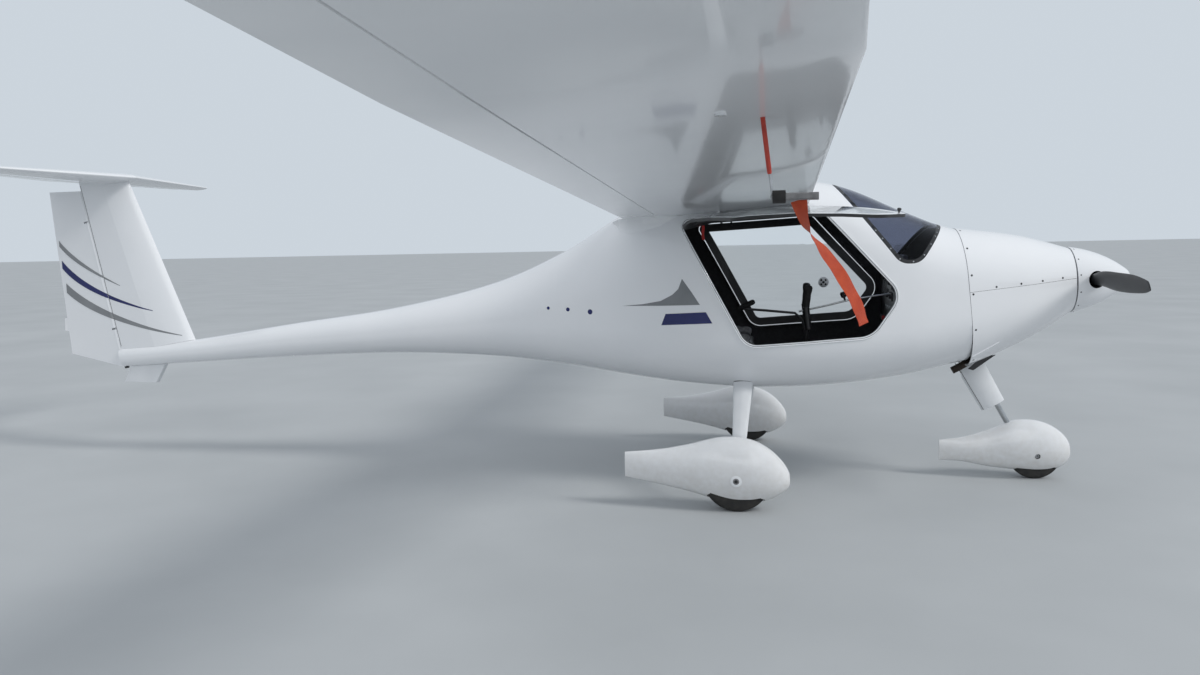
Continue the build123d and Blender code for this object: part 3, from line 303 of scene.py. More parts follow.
# Hull sections: station, top, bottom, half width, height of the greatest width, flat shares
hull_sections = (
    (1210, 1333, 668, 395, 1000, 0.30, 0.25),
    (1064, 1349, 634, 432, 998, 0.32, 0.28),
    (842, 1434, 585, 482, 992, 0.36, 0.35),
    (490, 1580, 541, 530, 985, 0.42, 0.42),
    (100, 1622, 524, 550, 980, 0.45, 0.42),
    (-300, 1598, 541, 505, 965, 0.42, 0.38),
    (-640, 1462, 574, 408, 948, 0.35, 0.30),
    (-960, 1280, 614, 308, 905, 0.25, 0.20),
    (-1410, 1092, 657, 210, 862, 0.16, 0.12),
    (-2050, 944, 672, 138, 805, 0.12, 0.10),
    (-2750, 846, 646, 104, 748, 0.12, 0.10),
    (-3430, 747, 606, 80, 678, 0.12, 0.10),
    (-4000, 690, 568, 48, 630, 0.12, 0.10),
)
cowl_sections = (
    (1040, 1349, 590, 437, 998, 0.32, 0.28),
    (1120, 1343, 606, 420, 1000, 0.31, 0.26),
    (1400, 1307, 724, 322, 1012, 0.20, 0.16),
    (1560, 1268, 808, 244, 1035, 0.12, 0.10),
)


def eased(before, first, last, after, t, lead=2.0, trail=2.0):
    """Value at a share t of a cubic curve from first to last, with slopes taken from the values round them.

    Lead is the span from before to last and trail the span from first to after, in spans from first to last.
    """
    return (
        first * (1 + 2 * t) * (1 - t) ** 2
        + last * (3 - 2 * t) * t**2
        + (last - before) / lead * t * (1 - t) ** 2
        - (after - first) / trail * t**2 * (1 - t)
    )


def eased_row(rows, station):
    """Row of a table at any station, on cubic curves through the rows."""
    rows = sorted(rows)
    i = 0
    while i < len(rows) - 2 and station > rows[i + 1][0]:
        i += 1
    first, last = rows[i], rows[i + 1]
    before = rows[i - 1] if i else first
    after = rows[i + 2] if i + 2 < len(rows) else last
    span = last[0] - first[0]
    t = min(1.0, max(0.0, (station - first[0]) / span))
    lead, trail = (last[0] - before[0]) / span, (after[0] - first[0]) / span
    return [eased(*values, t, lead, trail) for values in zip(before, first, last, after)]


def section_shape(row, inset):
    """Half width, top and bottom of a section, and where its flat top ends and its flat sides end."""
    _, top, bottom, half, wide, flat_top, flat_side = row
    half, top, bottom = half - inset, top - inset, bottom + inset
    high, low = wide + (top - wide) * flat_side, wide - (wide - bottom) * flat_side
    return half, top, bottom, half * flat_top, high, low


def section_points(row, inset=0.0, arc=9, flat=3):
    """Points (y, z) round a section of four quarter ellipses and four flat sides."""
    half, top, bottom, side_x, high, low = section_shape(row, inset)
    radius = half - side_x
    corners = (
        (side_x, high, top - high, 0),
        (-side_x, high, top - high, 90),
        (-side_x, low, low - bottom, 180),
        (side_x, low, low - bottom, 270),
    )
    points = []
    for i, (cx, cz, rise, start) in enumerate(corners):
        for step in range(arc + 1):
            angle = radians(start + 90 * step / arc)
            points.append((cx + radius * cos(angle), cz + rise * sin(angle)))
        nx, nz, nrise, nstart = corners[(i + 1) % 4]
        end = (nx + radius * cos(radians(nstart)), nz + nrise * sin(radians(nstart)))
        last = points[-1]
        for step in range(1, flat):
            share = step / flat
            points.append((last[0] + (end[0] - last[0]) * share, last[1] + (end[1] - last[1]) * share))
    return points


def turns(count):
    """Angles once round."""
    return [2 * pi * k / count for k in range(count)]


def tube(rings, loop=False):
    """Vertices and faces through rings of points: a solid with two ends, or a closed loop of rings."""
    count, total = len(rings[0]), len(rings)
    verts = [p for ring in rings for p in ring]
    faces = []
    for i in range(total if loop else total - 1):
        a, b = i * count, (i + 1) % total * count
        faces += [(a + j, b + j, b + (j + 1) % count, a + (j + 1) % count) for j in range(count)]
    if not loop:
        faces += [tuple(range(count)), tuple(reversed(range((total - 1) * count, total * count)))]
    return verts, faces


def correct_normals(obj):
    """Makes the faces of a closed mesh point outwards."""
    bm = bmesh.new()
    bm.from_mesh(obj.data)
    bmesh.ops.recalc_face_normals(bm, faces=bm.faces)
    bm.to_mesh(obj.data)
    bm.free()


def solid(name, rings, *materials, loop=False):
    """Closed mesh through rings of points, with its faces turned outwards."""
    obj = new_mesh(name, *tube(rings, loop), smooth=False)
    paint(obj, *materials)
    correct_normals(obj)
    return obj


def hull_ring(station, inset=0.0):
    """Ring of the hull at a station."""
    return [place(station, y, z) for y, z in section_points(eased_row(hull_sections, station), inset)]


def spread(first, last, step):
    """Evenly spaced values from first to last."""
    count = max(1, round(abs(last - first) / step))
    return [first + (last - first) * i / count for i in range(count + 1)]


def hull_solid(name, first, last, step, *materials, inset=0.0):
    """The hull between two stations, shrunk by an inset."""
    return solid(name, [hull_ring(s, inset) for s in spread(first, last, step)], *materials)


def half_width(station, height, inset=0.0):
    """Half width of the hull at a station and height."""
    half, top, bottom, side_x, high, low = section_shape(eased_row(hull_sections, station), inset)
    if height > high:
        share = min(1.0, (height - high) / (top - high))
    elif height < low:
        share = min(1.0, (low - height) / (low - bottom))
    else:
        share = 0.0
    return side_x + (half - side_x) * sqrt(max(0.0, 1 - share * share))


def rounded_outline(corners, steps=7):
    """Points round a polygon whose corners are rounded: corners are x, z and radius."""
    points = []
    count = len(corners)
    for i, (x, z, radius) in enumerate(corners):
        here = Vector((x, z))
        back = (Vector(corners[i - 1][:2]) - here).normalized()
        on = (Vector(corners[(i + 1) % count][:2]) - here).normalized()
        half_angle = back.angle(on) / 2
        reach = radius / tan(half_angle)
        centre = here + (back + on).normalized() * radius / sin(half_angle)
        first, last = here + back * reach - centre, here + on * reach - centre
        start = atan2(first.y, first.x)
        turn = (atan2(last.y, last.x) - start + pi) % (2 * pi) - pi
        for step in range(steps + 1):
            angle = start + turn * step / steps
            points.append(centre + radius * Vector((cos(angle), sin(angle))))
    return points


def dense(points, step):
    """The same closed outline with points at most a step apart."""
    result = []
    for i, p in enumerate(points):
        q = points[(i + 1) % len(points)]
        count = max(1, int((q - p).length / step) + 1)
        result += [p.lerp(q, k / count) for k in range(count)]
    return result


def grown(points, amount):
    """Closed outline moved outwards by an amount, inwards if it is negative."""
    area = sum(p.x * q.y - q.x * p.y for p, q in zip(points, points[1:] + points[:1]))
    way = 1 if area > 0 else -1
    result = []
    for i, p in enumerate(points):
        a = (p - points[i - 1]).normalized()
        b = (points[(i + 1) % len(points)] - p).normalized()
        along = (a + b).normalized()
        normal = Vector((along.y, -along.x)) * way
        result.append(p + normal * amount / max(0.5, normal.dot(Vector((a.y, -a.x)) * way)))
    return result


door_corners = ((-300, 1408, 34), (42, 772, 90), (655, 818, 120), (792, 1020, 90), (402, 1445, 34))
screen_corners = ((376, 1700, 5), (787, 1174, 84), (885, 1174, 84), (1012, 1353, 5), (1012, 1700, 5))
wall = 14.0
seam_lean, seam_station, seam_height = 6.0, 1120.0, 1065.0
firewall = 25.0


def prism(name, outline, low_y, high_y):
    """Cutter across the aircraft with a side view outline."""
    return solid(name, [[place(p.x, y, p.y) for p in outline] for y in (low_y, high_y)])


def circle(centre, axis, start, radius, count):
    """Points round an axis, from a direction across it."""
    other = axis.cross(start)
    return [centre + (start * cos(a) + other * sin(a)) * radius * MM for a in turns(count)]


def turned(name, origin, direction, profile, count=40, material=None, body="airframe", loop=False, **options):
    """Solid turned about a line: the profile's points are distance along it and radius.

    Without a material it is a cutter. A loop closes the profile on itself, clear of the line.
    """
    axis = Vector(direction).normalized()
    start = axis.orthogonal().normalized()
    rings = [circle(origin + axis * reach * MM, axis, start, radius, count) for reach, radius in profile]
    obj = solid(name, rings, loop=loop)
    if material:
        finish_piece(obj, material, body, **options)
    return obj


def thicken(obj, thickness):
    """Gives a sheet its thickness, half to each side."""
    modifier = obj.modifiers.new("thickness", "SOLIDIFY")
    modifier.thickness = thickness
    modifier.offset = 0
    apply_modifiers(obj)


def apply_modifiers(obj):
    """Bakes the modifiers of a mesh into it."""
    graph = bpy.context.evaluated_depsgraph_get()
    done = bpy.data.meshes.new_from_object(obj.evaluated_get(graph))
    obj.modifiers.clear()
    obj.data = done


def cut(obj, cutter, lined=False, operation="DIFFERENCE"):
    """Cuts a piece, or keeps what lies in the cutter; the cut faces can be lined with black."""
    paint(cutter, white, lining)
    for polygon in cutter.data.polygons:
        polygon.material_index = 1 if lined else 0
    modifier = obj.modifiers.new("cut", "BOOLEAN")
    modifier.object = cutter
    modifier.solver = "EXACT"
    modifier.operation = operation
    apply_modifiers(obj)
    bpy.data.objects.remove(cutter)


def split_mesh(obj, origin, normal):
    """Removes what lies on the normal's side of a plane and closes the cut."""
    bm = bmesh.new()
    bm.from_mesh(obj.data)
    geometry = bm.verts[:] + bm.edges[:] + bm.faces[:]
    cut_geometry = bmesh.ops.bisect_plane(
        bm, geom=geometry, plane_co=origin, plane_no=normal, clear_outer=True
    )["geom_cut"]
    edges = [e for e in cut_geometry if isinstance(e, bmesh.types.BMEdge)]
    bmesh.ops.holes_fill(bm, edges=edges)
    bm.to_mesh(obj.data)
    bm.free()


sides = (("left", 1), ("right", -1))
forward, sideways, upwards = Vector((1, 0, 0)), Vector((0, 1, 0)), Vector((0, 0, 1))
seam_normal = slanting(seam_lean)
seam_origin = place(seam_station, 0, seam_height)

# Cabin skin: hollow, open at doors and windshield
cabin = hull_solid("cabin_skin", -1000, 1210, 34, white, lining)
split_mesh(cabin, seam_origin, seam_normal)
hollow = hull_solid("hollow", -960, 1210, 60, inset=wall)
split_mesh(hollow, seam_origin - seam_normal * firewall * MM, seam_normal)
cut(cabin, hollow, lined=True)
door_outline = dense(rounded_outline(door_corners), 40)
screen_outline = rounded_outline(screen_corners)
cut(cabin, prism("door_cut_left", door_outline, 300, 700))
cut(cabin, prism("door_cut_right", door_outline, -700, -300))
cut(cabin, prism("screen_cut", screen_outline, -700, 700))
finish_piece(cabin, slot="white_gelcoat", replaces=("cabin_shell",))

# Windshield: one blown sheet, let into the skin
glazing = hull_solid("windshield_glazing", 340, 1100, 20, tinted, inset=0.8)
cut(glazing, hull_solid("glazing_room", 300, 1140, 20, inset=4.0))
cut(glazing, prism("glazing_outline", screen_outline, -700, 700), operation="INTERSECT")
finish_piece(glazing, tinted, slot="tinted_glazing", replaces=("windshield",))

# Tail boom skin, open behind for the rudder
rudder_foot, rudder_head = Vector((-3944, 574)), Vector((-4186, 1705))
hinge_run = (rudder_head - rudder_foot).normalized()
hinge_ahead = Vector((hinge_run.y, -hinge_run.x))
hinge_up = Vector((hinge_run.x, 0, hinge_run.y))
hinge_foot = place(rudder_foot.x, 0, rudder_foot.y)
boom = hull_solid("boom_skin", -4000, -1000, 40, white)
split_mesh(boom, hinge_foot, Vector((-hinge_up.z, 0, hinge_up.x)))
cut(boom, turned("cove", hinge_foot, hinge_up, ((-200, 38), (400, 32))))
finish_piece(boom, slot="white_gelcoat", replaces=("tail_boom",))

# Cowling: rings through the table and the round face behind the spinner
thrust_tilt, thrust_station, thrust_height, nose_radius = 3.0, 1687.0, 1065.0, 168.0
thrust, thrust_up = slanting(thrust_tilt), slanting(90 + thrust_tilt)
nose_centre = place(thrust_station, 0, thrust_height)
cowl_wall = 6.0
cowl_seam_height, cowl_seam_rise = 1025.0, 5.5
cowl_split = place(seam_station, 0, cowl_seam_height)
cowl_split_up = slanting(90 + cowl_seam_rise)


def cowl_rings(inset=0.0, steps=10):
    """Rings of the cowling, curved smoothly from row to row."""
    keys = [[place(row[0], y, z) for y, z in section_points(row, inset)] for row in cowl_sections]
    front = section_points((0, nose_radius, -nose_radius, nose_radius, 0, 0.06, 0.06), inset)
    keys.append([nose_centre + (Vector((0, y, 0)) + thrust_up * z) * MM for y, z in front])
    stations = [row[0] for row in cowl_sections] + [thrust_station]
    rings = []
    for i in range(len(keys) - 1):
        before, after = max(i - 1, 0), min(i + 2, len(keys) - 1)
        span = stations[i + 1] - stations[i]
        lead, trail = (stations[i + 1] - stations[before]) / span, (stations[after] - stations[i]) / span
        near = (keys[before], keys[i], keys[i + 1], keys[after])
        rings += [[eased(*points, k / steps, lead, trail) for points in zip(*near)] for k in range(steps)]
    return rings + [keys[-1]]


def cowl_half(name, side_sign):
    """Upper or lower cowling with its inner face and the hole for the shaft."""
    obj = solid(name, cowl_rings(), white, lining)
    split_mesh(obj, seam_origin + seam_normal * 1.5 * MM, -seam_normal)
    split_mesh(obj, cowl_split + cowl_split_up * side_sign * 0.7 * MM, -cowl_split_up * side_sign)
    inner = solid(name + "_inner", cowl_rings(cowl_wall))
    split_mesh(inner, nose_centre - thrust * cowl_wall * MM, thrust)
    cut(obj, inner, lined=True)
    cut(obj, turned("shaft_hole", nose_centre, thrust, ((-40, 34), (20, 34))))
    return obj


cowl_top = cowl_half("cowl_top", 1)
finish_piece(cowl_top, slot="white_gelcoat", replaces=("cowl_upper",))
cowl_bottom = cowl_half("cowl_bottom", -1)
outlet = [Vector(p) for p in ((-900, 0), (1310, 0), (1310, 745), (-900, 745))]
cut(cowl_bottom, prism("outlet", outlet, -110, 110))
finish_piece(cowl_bottom, slot="white_gelcoat", replaces=("cowl_lower",))

# Wheel covers, smooth, open below round the tyres: station, top, bottom, half width
pant_sections = (
    (-548, 275, 150, 10),
    (-373, 293, 118, 44),
    (-225, 322, 86, 68),
    (-105, 354, 52, 82),
    (-20, 361, 34, 87),
    (62, 350, 36, 89),
    (114, 330, 46, 86),
    (169, 294, 64, 76),
    (215, 248, 91, 58),
    (238, 215, 110, 42),
    (250, 190, 126, 28),
)
nose_pant_sections = (
    (1064, 197, 86, 12),
    (1190, 216, 80, 40),
    (1310, 256, 58, 62),
    (1430, 309, 46, 84),
    (1520, 317, 38, 88),
    (1578, 308, 38, 85),
    (1630, 288, 44, 77),
    (1680, 253, 64, 62),
    (1708, 222, 86, 47),
    (1722, 196, 106, 32),
)
pant_wall = 3.5
move_gap = 6.0


def pant_rings(sections, y, inset=0.0, steps=5):
    """Elliptical rings of a wheel cover, closer together towards its nose."""
    rows = sorted(sections)
    stations = [a[0] + (b[0] - a[0]) * k / steps for a, b in zip(rows, rows[1:]) for k in range(steps)]
    stations.append(rows[-1][0])
    if inset:
        stations = [x for x in stations if rows[0][0] + 12 < x < rows[-1][0] - 6]
    rings = []
    for station in stations:
        _, top, bottom, half = eased_row(sections, station)
        middle, rise = (top + bottom) / 2, (top - bottom) / 2 - inset
        rings.append([place(station, y + (half - inset) * cos(a), middle + rise * sin(a)) for a in turns(48)])
    return rings


def wheel_cover(name, sections, station, y, radius, width, body, node, plug_hole=0):
    """Wheel cover with its inner face and the opening for a tyre that stands on the floor."""
    rings = pant_rings(sections, y)
    middle = sum(rings[-1], Vector()) / len(rings[-1])
    nose = [p.lerp(middle, 0.5) + Vector((2.5 * MM, 0, 0)) for p in rings[-1]]
    obj = solid(name, rings + [nose], bottom_browned_white, lining)
    cut(obj, solid(name + "_room", pant_rings(sections, y, pant_wall)), lined=True)
    hub, axle = place(station, y - width / 2 - move_gap, radius), (0, 1, 0)
    full, reach = radius + move_gap, width + 2 * move_gap
    edge = [(0, full - 26), (16, full - 3), (22, full)]
    arch = edge + [(reach - along, out) for along, out in reversed(edge)]
    cut(obj, turned(name + "_arch", hub, axle, arch, 64))
    if plug_hole:
        cut(obj, turned(name + "_plug", hub, axle, ((-200, plug_hole), (400, plug_hole))))
    finish_piece(obj, None, body, slot="white_gelcoat", replaces=(node,))


track, tyre_radius, tyre_width, tyre_rim = 1600.0, 163.0, 94.0, 76.0
wheelbase, nose_tyre_radius, nose_tyre_width, nose_tyre_rim = 1548.0, 134.0, 72.0, 58.0
for side, way in sides:
    wheel_cover("cover_" + side, pant_sections, 0, way * track / 2, tyre_radius, tyre_width, "airframe",
                "pant_" + side)
wheel_cover("cover_nose", nose_pant_sections, wheelbase, 0, nose_tyre_radius, nose_tyre_width, "nose_steer",
            "nose_pant", plug_hole=14)


def tyre(node, body, station, y, radius, width, rim):
    """Tyre with rounded shoulders and four grooves, standing on the floor."""
    half, wall_height = width / 2, radius - rim
    points = [(half * 0.72, rim), (half * 0.9, rim + 6), (half * 0.97, rim + 0.35 * wall_height)]
    points += [(half, rim + 0.55 * wall_height), (half * 0.93, rim + 0.78 * wall_height)]
    points += [(half * 0.8, radius - 0.07 * wall_height), (half * 0.66, radius - 1.2)]
    for groove in (0.46, 0.16):
        for offset, depth in ((3.2, 0), (2.2, 4.5), (-2.2, 4.5), (-3.2, 0)):
            points.append((half * groove + offset, radius - depth))
    points += [(-x, r) for x, r in reversed(points)]
    turned(node + "_treaded", place(station, y, radius), (0, 1, 0), points, 96, tyre_rubber, body,
           loop=True, slot="tyre_rubber", replaces=(node,))


for side, way in sides:
    tyre("tyre_" + side, "wheel_" + side, 0, way * track / 2, tyre_radius, tyre_width, tyre_rim)
tyre("nose_tyre", "nose_wheel", wheelbase, 0, nose_tyre_radius, nose_tyre_width, nose_tyre_rim)

# Main legs, smooth: y, height, station, chord, thickness
leg_sections = (
    (300, 640, 20, 112, 40),
    (380, 586, 19, 104, 34),
    (716, 360, 12, 72, 24),
    (731, 300, 8, 64, 20),
    (731, 130, 0, 50, 20),
)


def leg_piece(name, way, node):
    """Blade-shaped leg down to the axle."""
    rows = []
    for i, (above_row, row) in enumerate(zip(leg_sections, leg_sections[1:])):
        steps = 8 if i < 3 else 4
        rows += [[a + (b - a) * k / steps for a, b in zip(above_row, row)] for k in range(steps)]
    rows.append(leg_sections[-1])
    rings = []
    for i, (y, height, station, chord, thick) in enumerate(rows):
        before, after = rows[max(i - 1, 0)], rows[min(i + 1, len(rows) - 1)]
        across_leg = Vector((0, after[1] - before[1], before[0] - after[0])).normalized()
        ring = []
        for a in turns(40):
            sharp = 1 - 0.35 * max(0.0, -cos(a))
            p = Vector((station + chord / 2 * cos(a), y, height)) + across_leg * thick / 2 * sin(a) * sharp
            ring.append(place(p.x, p.y * way, p.z))
        rings.append(ring)
    finish_piece(solid(name, rings), leg_white, slot="gear_steel", replaces=(node,))


for side, way in sides:
    leg_piece("leg_" + side, way, "main_leg_" + side)
for side, way in sides:
    foot = place(0, leg_sections[-1][0] * way, tyre_radius)
    turned("axle_" + side, foot, (0, way, 0), ((-8, 12), (127, 12)), material=steel)


# Things that lie on a skin
def bvh(*objects):
    """Search tree over objects in the world frame."""
    verts, faces = [], []
    for obj in objects:
        first = len(verts)
        verts += [obj.matrix_world @ v.co for v in obj.data.vertices]
        faces += [[first + i for i in p.vertices] for p in obj.data.polygons]
    return BVHTree.FromPolygons(verts, faces)


def skin_hit(tree, start, ray):
    """Point and outward normal where a ray towards a skin first meets it."""
    hit, normal, _, _ = tree.ray_cast(start, ray)
    if hit is not None and normal.dot(ray) > 0:
        normal = -normal
    return hit, normal


def side_hit(tree, station, height, way):
    """Point and normal on a skin, seen from the side (way -1 right, 1 left)."""
    return skin_hit(tree, place(station, way * 9000, height), Vector((0, -way, 0)))


def from_bmesh(name, bm):
    """Object of a mesh that was built up."""
    data = bpy.data.meshes.new(name)
    bm.to_mesh(data)
    bm.free()
    return link(name, data)


def patch(name, outline, tree, way, material, body="airframe", lift=0.0006, grid=14.0):
    """Thin film on a skin: the outline is given in the side view, in millimetres."""
    bm = bmesh.new()
    bm.faces.new([bm.verts.new((p[0], 0, p[1])) for p in outline])
    for normal, values in (((1, 0, 0), [p[0] for p in outline]), ((0, 0, 1), [p[1] for p in outline])):
        low, high = min(values), max(values)
        for k in range(1, int((high - low) / grid) + 1):
            geometry = bm.verts[:] + bm.edges[:] + bm.faces[:]
            where = Vector(normal) * (low + k * grid)
            bmesh.ops.bisect_plane(bm, geom=geometry, plane_co=where, plane_no=normal)
    bmesh.ops.triangulate(bm, faces=bm.faces[:])
    lost = []
    for v in bm.verts:
        hit, normal = side_hit(tree, v.co.x, v.co.z, way)
        if hit is None:
            lost.append(v)
        else:
            v.co = hit + normal * lift
    if lost:
        bmesh.ops.delete(bm, geom=lost, context="VERTS")
    for f in bm.faces:
        if f.normal.y * way < 0:
            f.normal_flip()
    finish_piece(from_bmesh(name, bm), material, body, slot="white_gelcoat")


def on_skin(hits):
    """Points and normals of the rays that met a skin."""
    met = [pair for pair in hits if pair[0] is not None]
    return [hit for hit, _ in met], [normal for _, normal in met]


def skin_line(outline, tree, way):
    """Points on a skin under side view points in millimetres, and the skin's normals there."""
    return on_skin([side_hit(tree, x, z, way) for x, z in outline])


def plane_line(tree, origin, first, second, angles):
    """Outer points of a skin round an origin: rays turn by degrees from a direction to a second."""
    rays = [first * cos(radians(a)) + second * sin(radians(a)) for a in angles]
    return on_skin([skin_hit(tree, origin + ray * 3, -ray) for ray in rays])


def runs(points, closed):
    """Direction of a line at each of its points."""
    total = len(points)
    result = []
    for i in range(total):
        after = points[(i + 1) % total if closed else min(i + 1, total - 1)]
        result.append(after - points[i - 1 if closed or i else 0])
    return result


def strip(name, points, normals, width, material, lift=0.6, closed=False):
    """Flat strip on the airframe that follows a line on a skin."""
    verts, faces = [], []
    for p, normal, run in zip(points, normals, runs(points, closed)):
        across = run.cross(normal).normalized() * width / 2 * MM
        verts += [p - across + normal * lift * MM, p + across + normal * lift * MM]
    total = len(points)
    for i in range(total if closed else total - 1):
        k = (i + 1) % total
        faces.append((2 * i, 2 * i + 1, 2 * k + 1, 2 * k))
    new_mesh(name, verts, faces, material, "airframe")


def bead(name, points, radius, material, closed=False, count=10, **options):
    """Round bead on the airframe along a line."""
    rings = []
    normal = None
    for p, run in zip(points, runs(points, closed)):
        run.normalize()
        normal = run.orthogonal() if normal is None else normal - run * normal.dot(run)
        normal.normalize()
        rings.append(circle(p, run, normal, radius, count))
    new_mesh(name, *tube(rings, closed), material, "airframe", **options)


def studs(name, points, normals, radius, height, material, body="airframe", count=14):
    """Low domed heads that stand on a skin, in one mesh."""
    verts, faces = [], []
    for p, normal in zip(points, normals):
        start = normal.orthogonal().normalized()
        first = len(verts)
        for rise, share in ((-0.6, 1.0), (0.55 * height, 1.0), (height, 0.6)):
            verts += circle(p + normal * rise * MM, normal, start, radius * share, count)
        for ring in range(2):
            for k in range(count):
                a, b = first + ring * count + k, first + ring * count + (k + 1) % count
                faces.append((a, b, b + count, a + count))
        faces.append(tuple(first + 2 * count + k for k in range(count)))
    new_mesh(name, verts, faces, material, body)


cabin_tree = bvh(cabin)
hull_tree = bvh(cabin, boom)
cowl_tree = bvh(cowl_top, cowl_bottom)

# Lip round each door opening and the seal inside it
solid_outline = dense(rounded_outline(door_corners, 12), 24)
seal_line = grown(solid_outline, 6.0)
for side, way in sides:
    for offset, radius, label in ((11.0, 4.6, "outer"), (2.5, 2.8, "inner")):
        line, _ = skin_line(grown(solid_outline, offset), cabin_tree, way)
        bead(f"door_lip_{label}_{side}", line, radius, white, closed=True, slot="white_gelcoat")
    # The dark strip in the groove between the two beads is painted shade
    line, normals = skin_line(grown(solid_outline, 6.5), cabin_tree, way)
    strip("door_lip_groove_" + side, line, normals, 2.6, seal_rubber_and_shade, lift=0.5, closed=True)
    seal = [place(p.x, way * (half_width(p.x, p.y) - wall - 3.0), p.y) for p in seal_line]
    bead("door_seal_" + side, seal, 4.5, seal_rubber_and_shade, closed=True, slot="tyre_rubber")

# Windshield border with its screws
glass_tree = bvh(glazing)
border_width, screw_radius, screw_rise, screw_pitch = 19.0, 3.4, 1.6, 62
inset_outline = grown(rounded_outline(screen_corners, 10), -border_width / 2)
foot_line = [p for p in dense(inset_outline, 16) if p.y < 1352]
for side, way in sides:
    line, normals = skin_line(foot_line, glass_tree, way)
    highest = max(range(len(line)), key=lambda i: (line[i] - line[i - 1]).length)
    line, normals = line[highest:] + line[:highest], normals[highest:] + normals[:highest]
    strip("screen_border_" + side, line, normals, border_width, trim_black)
    screws, run = [], 0.0
    for i in range(1, len(line)):
        run += (line[i] - line[i - 1]).length / MM
        if run > screw_pitch:
            run = 0.0
            screws.append(i)
    studs("screen_screws_" + side, [line[i] for i in screws], [normals[i] for i in screws], screw_radius,
          screw_rise, alloy)

# Border over the top of the windshield, in planes beside its slanted edges
plane_foot, roof_angles = 120, range(-80, 81, 4)
for name, low, high, offset in (
    ("rear", screen_corners[1], screen_corners[0], border_width / 2),
    ("front", screen_corners[2], screen_corners[3], -border_width / 2),
):
    low, high = Vector(low[:2]), Vector(high[:2])
    rise = (high - low).normalized()
    start = low + rise * plane_foot + Vector((rise.y, -rise.x)) * offset
    line, normals = plane_line(glass_tree, place(start.x, 0, start.y), Vector((rise.x, 0, rise.y)), sideways,
                               roof_angles)
    strip("screen_edge_" + name, line, normals, border_width, trim_black)
    studs("screen_edge_screws_" + name, line[::4], normals[::4], screw_radius, screw_rise, alloy)

# Cowling fasteners, beside the seam with the cabin and along the seam between the halves
seam_up = slanting(90 + seam_lean)
beside_seam, above_split = 17, 12
fastener_plane = seam_origin + seam_normal * beside_seam * MM
lines = []
for angle in (18, 40, 64, 84, 97, 120, 146):
    for way in (1, -1):
        lines.append(plane_line(cowl_tree, fastener_plane, seam_up, sideways, [angle * way]))
for way in (1, -1):
    for station in (1257, 1383, 1495, 1605):
        height = cowl_seam_height + (station - seam_station) * tan(radians(cowl_seam_rise)) + above_split
        lines.append(skin_line([(station, height)], cowl_tree, way))
heads = [hit for hits, _ in lines for hit in hits]
head_normals = [normal for _, normals in lines for normal in normals]
studs("cowl_fasteners", heads, head_normals, 5.2, 1.4, trim_black)

# Screws round the foot of the spinner
spinner_plane, spinner_angles = nose_centre + thrust * 20 * MM, range(10, 370, 30)
heads, head_normals = plane_line(bvh(nodes["spinner"]), spinner_plane, thrust_up, sideways, spinner_angles)
studs("spinner_screws", heads, head_normals, 3.6, 1.0, trim_black, "propeller")

# Stripes and marks on fin, rudder and fuselage
fin_tree, rudder_tree = bvh(nodes["fin"]), bvh(nodes["rudder"])


def bent(points, count=16):
    """Curve through three points."""
    a, b, c = [Vector(p) for p in points]
    bend = b * 2 - (a + c) / 2
    shares = [k / count for k in range(count + 1)]
    return [a * (1 - t) ** 2 + bend * 2 * t * (1 - t) + c * t * t for t in shares]


def clipped(outline, hinge_side):
    """The part of a side view outline that lies ahead of (1) or behind (-1) the rudder hinge's gap."""
    least = 22.0 if hinge_side > 0 else -16.0
    depths = [(p - rudder_foot).dot(hinge_ahead * hinge_side) - least for p in outline]
    result = []
    for i, p in enumerate(outline):
        k = (i + 1) % len(outline)
        a, b = depths[i], depths[k]
        if a >= 0:
            result.append(p)
        if (a >= 0) != (b >= 0):
            result.append(p.lerp(outline[k], a / (a - b)))
    return result


stripes = (
    ("stripe_upper", grey_film, ((-4372, 1390), (-4200, 1245), (-3925, 1097)),
     ((-4372, 1352), (-4206, 1222), (-3925, 1094))),
    ("stripe_middle", navy, ((-4362, 1262), (-4110, 1080), (-3697, 937)),
     ((-4362, 1210), (-4118, 1050), (-3697, 933))),
    ("stripe_lower", grey_film, ((-4342, 1114), (-4020, 928), (-3508, 778)),
     ((-4342, 1052), (-4030, 892), (-3508, 774))),
)
for name, material, upper, lower in stripes:
    outline = bent(upper) + list(reversed(bent(lower)))
    for side, way in sides:
        patch(f"{name}_fin_{side}", clipped(outline, 1), fin_tree, way, material)
        patch(f"{name}_rudder_{side}", clipped(outline, -1), rudder_tree, way, material, "tail_rudder",
              lift=0.0012, grid=5.0)

# Painted shade along the rudder's hinge: a dark strip on the fin's skin where the gap is
gap_ahead, gap_width = 21, 2.6
gap_line = [rudder_foot + hinge_run * t + hinge_ahead * gap_ahead for t in spread(130, 1180, 30)]
for side, way in sides:
    line, normals = skin_line(gap_line, fin_tree, way)
    strip("rudder_gap_" + side, line, normals, gap_width, seal_rubber_and_shade, lift=0.5)

bar = ((-398, 874), (-375, 933), (-164, 944), (-131, 887))
swoosh = ((-614, 971), (-500, 982), (-400, 1000), (-338, 1032), (-306, 1062), (-286, 1114), (-240, 1050),
          (-194, 981), (-400, 975))
dots = ((-1050, 953, 9), (-932, 947, 11), (-800, 936, 14))
for side, way in sides:
    patch("bar_" + side, bar, hull_tree, way, navy)
    patch("swoosh_" + side, swoosh, hull_tree, way, grey_film)
    for i, (station, height, radius) in enumerate(dots):
        dot = [Vector((station + radius * cos(a), height + radius * sin(a))) for a in turns(18)]
        patch(f"dot_{i}_{side}", dot, hull_tree, way, navy)

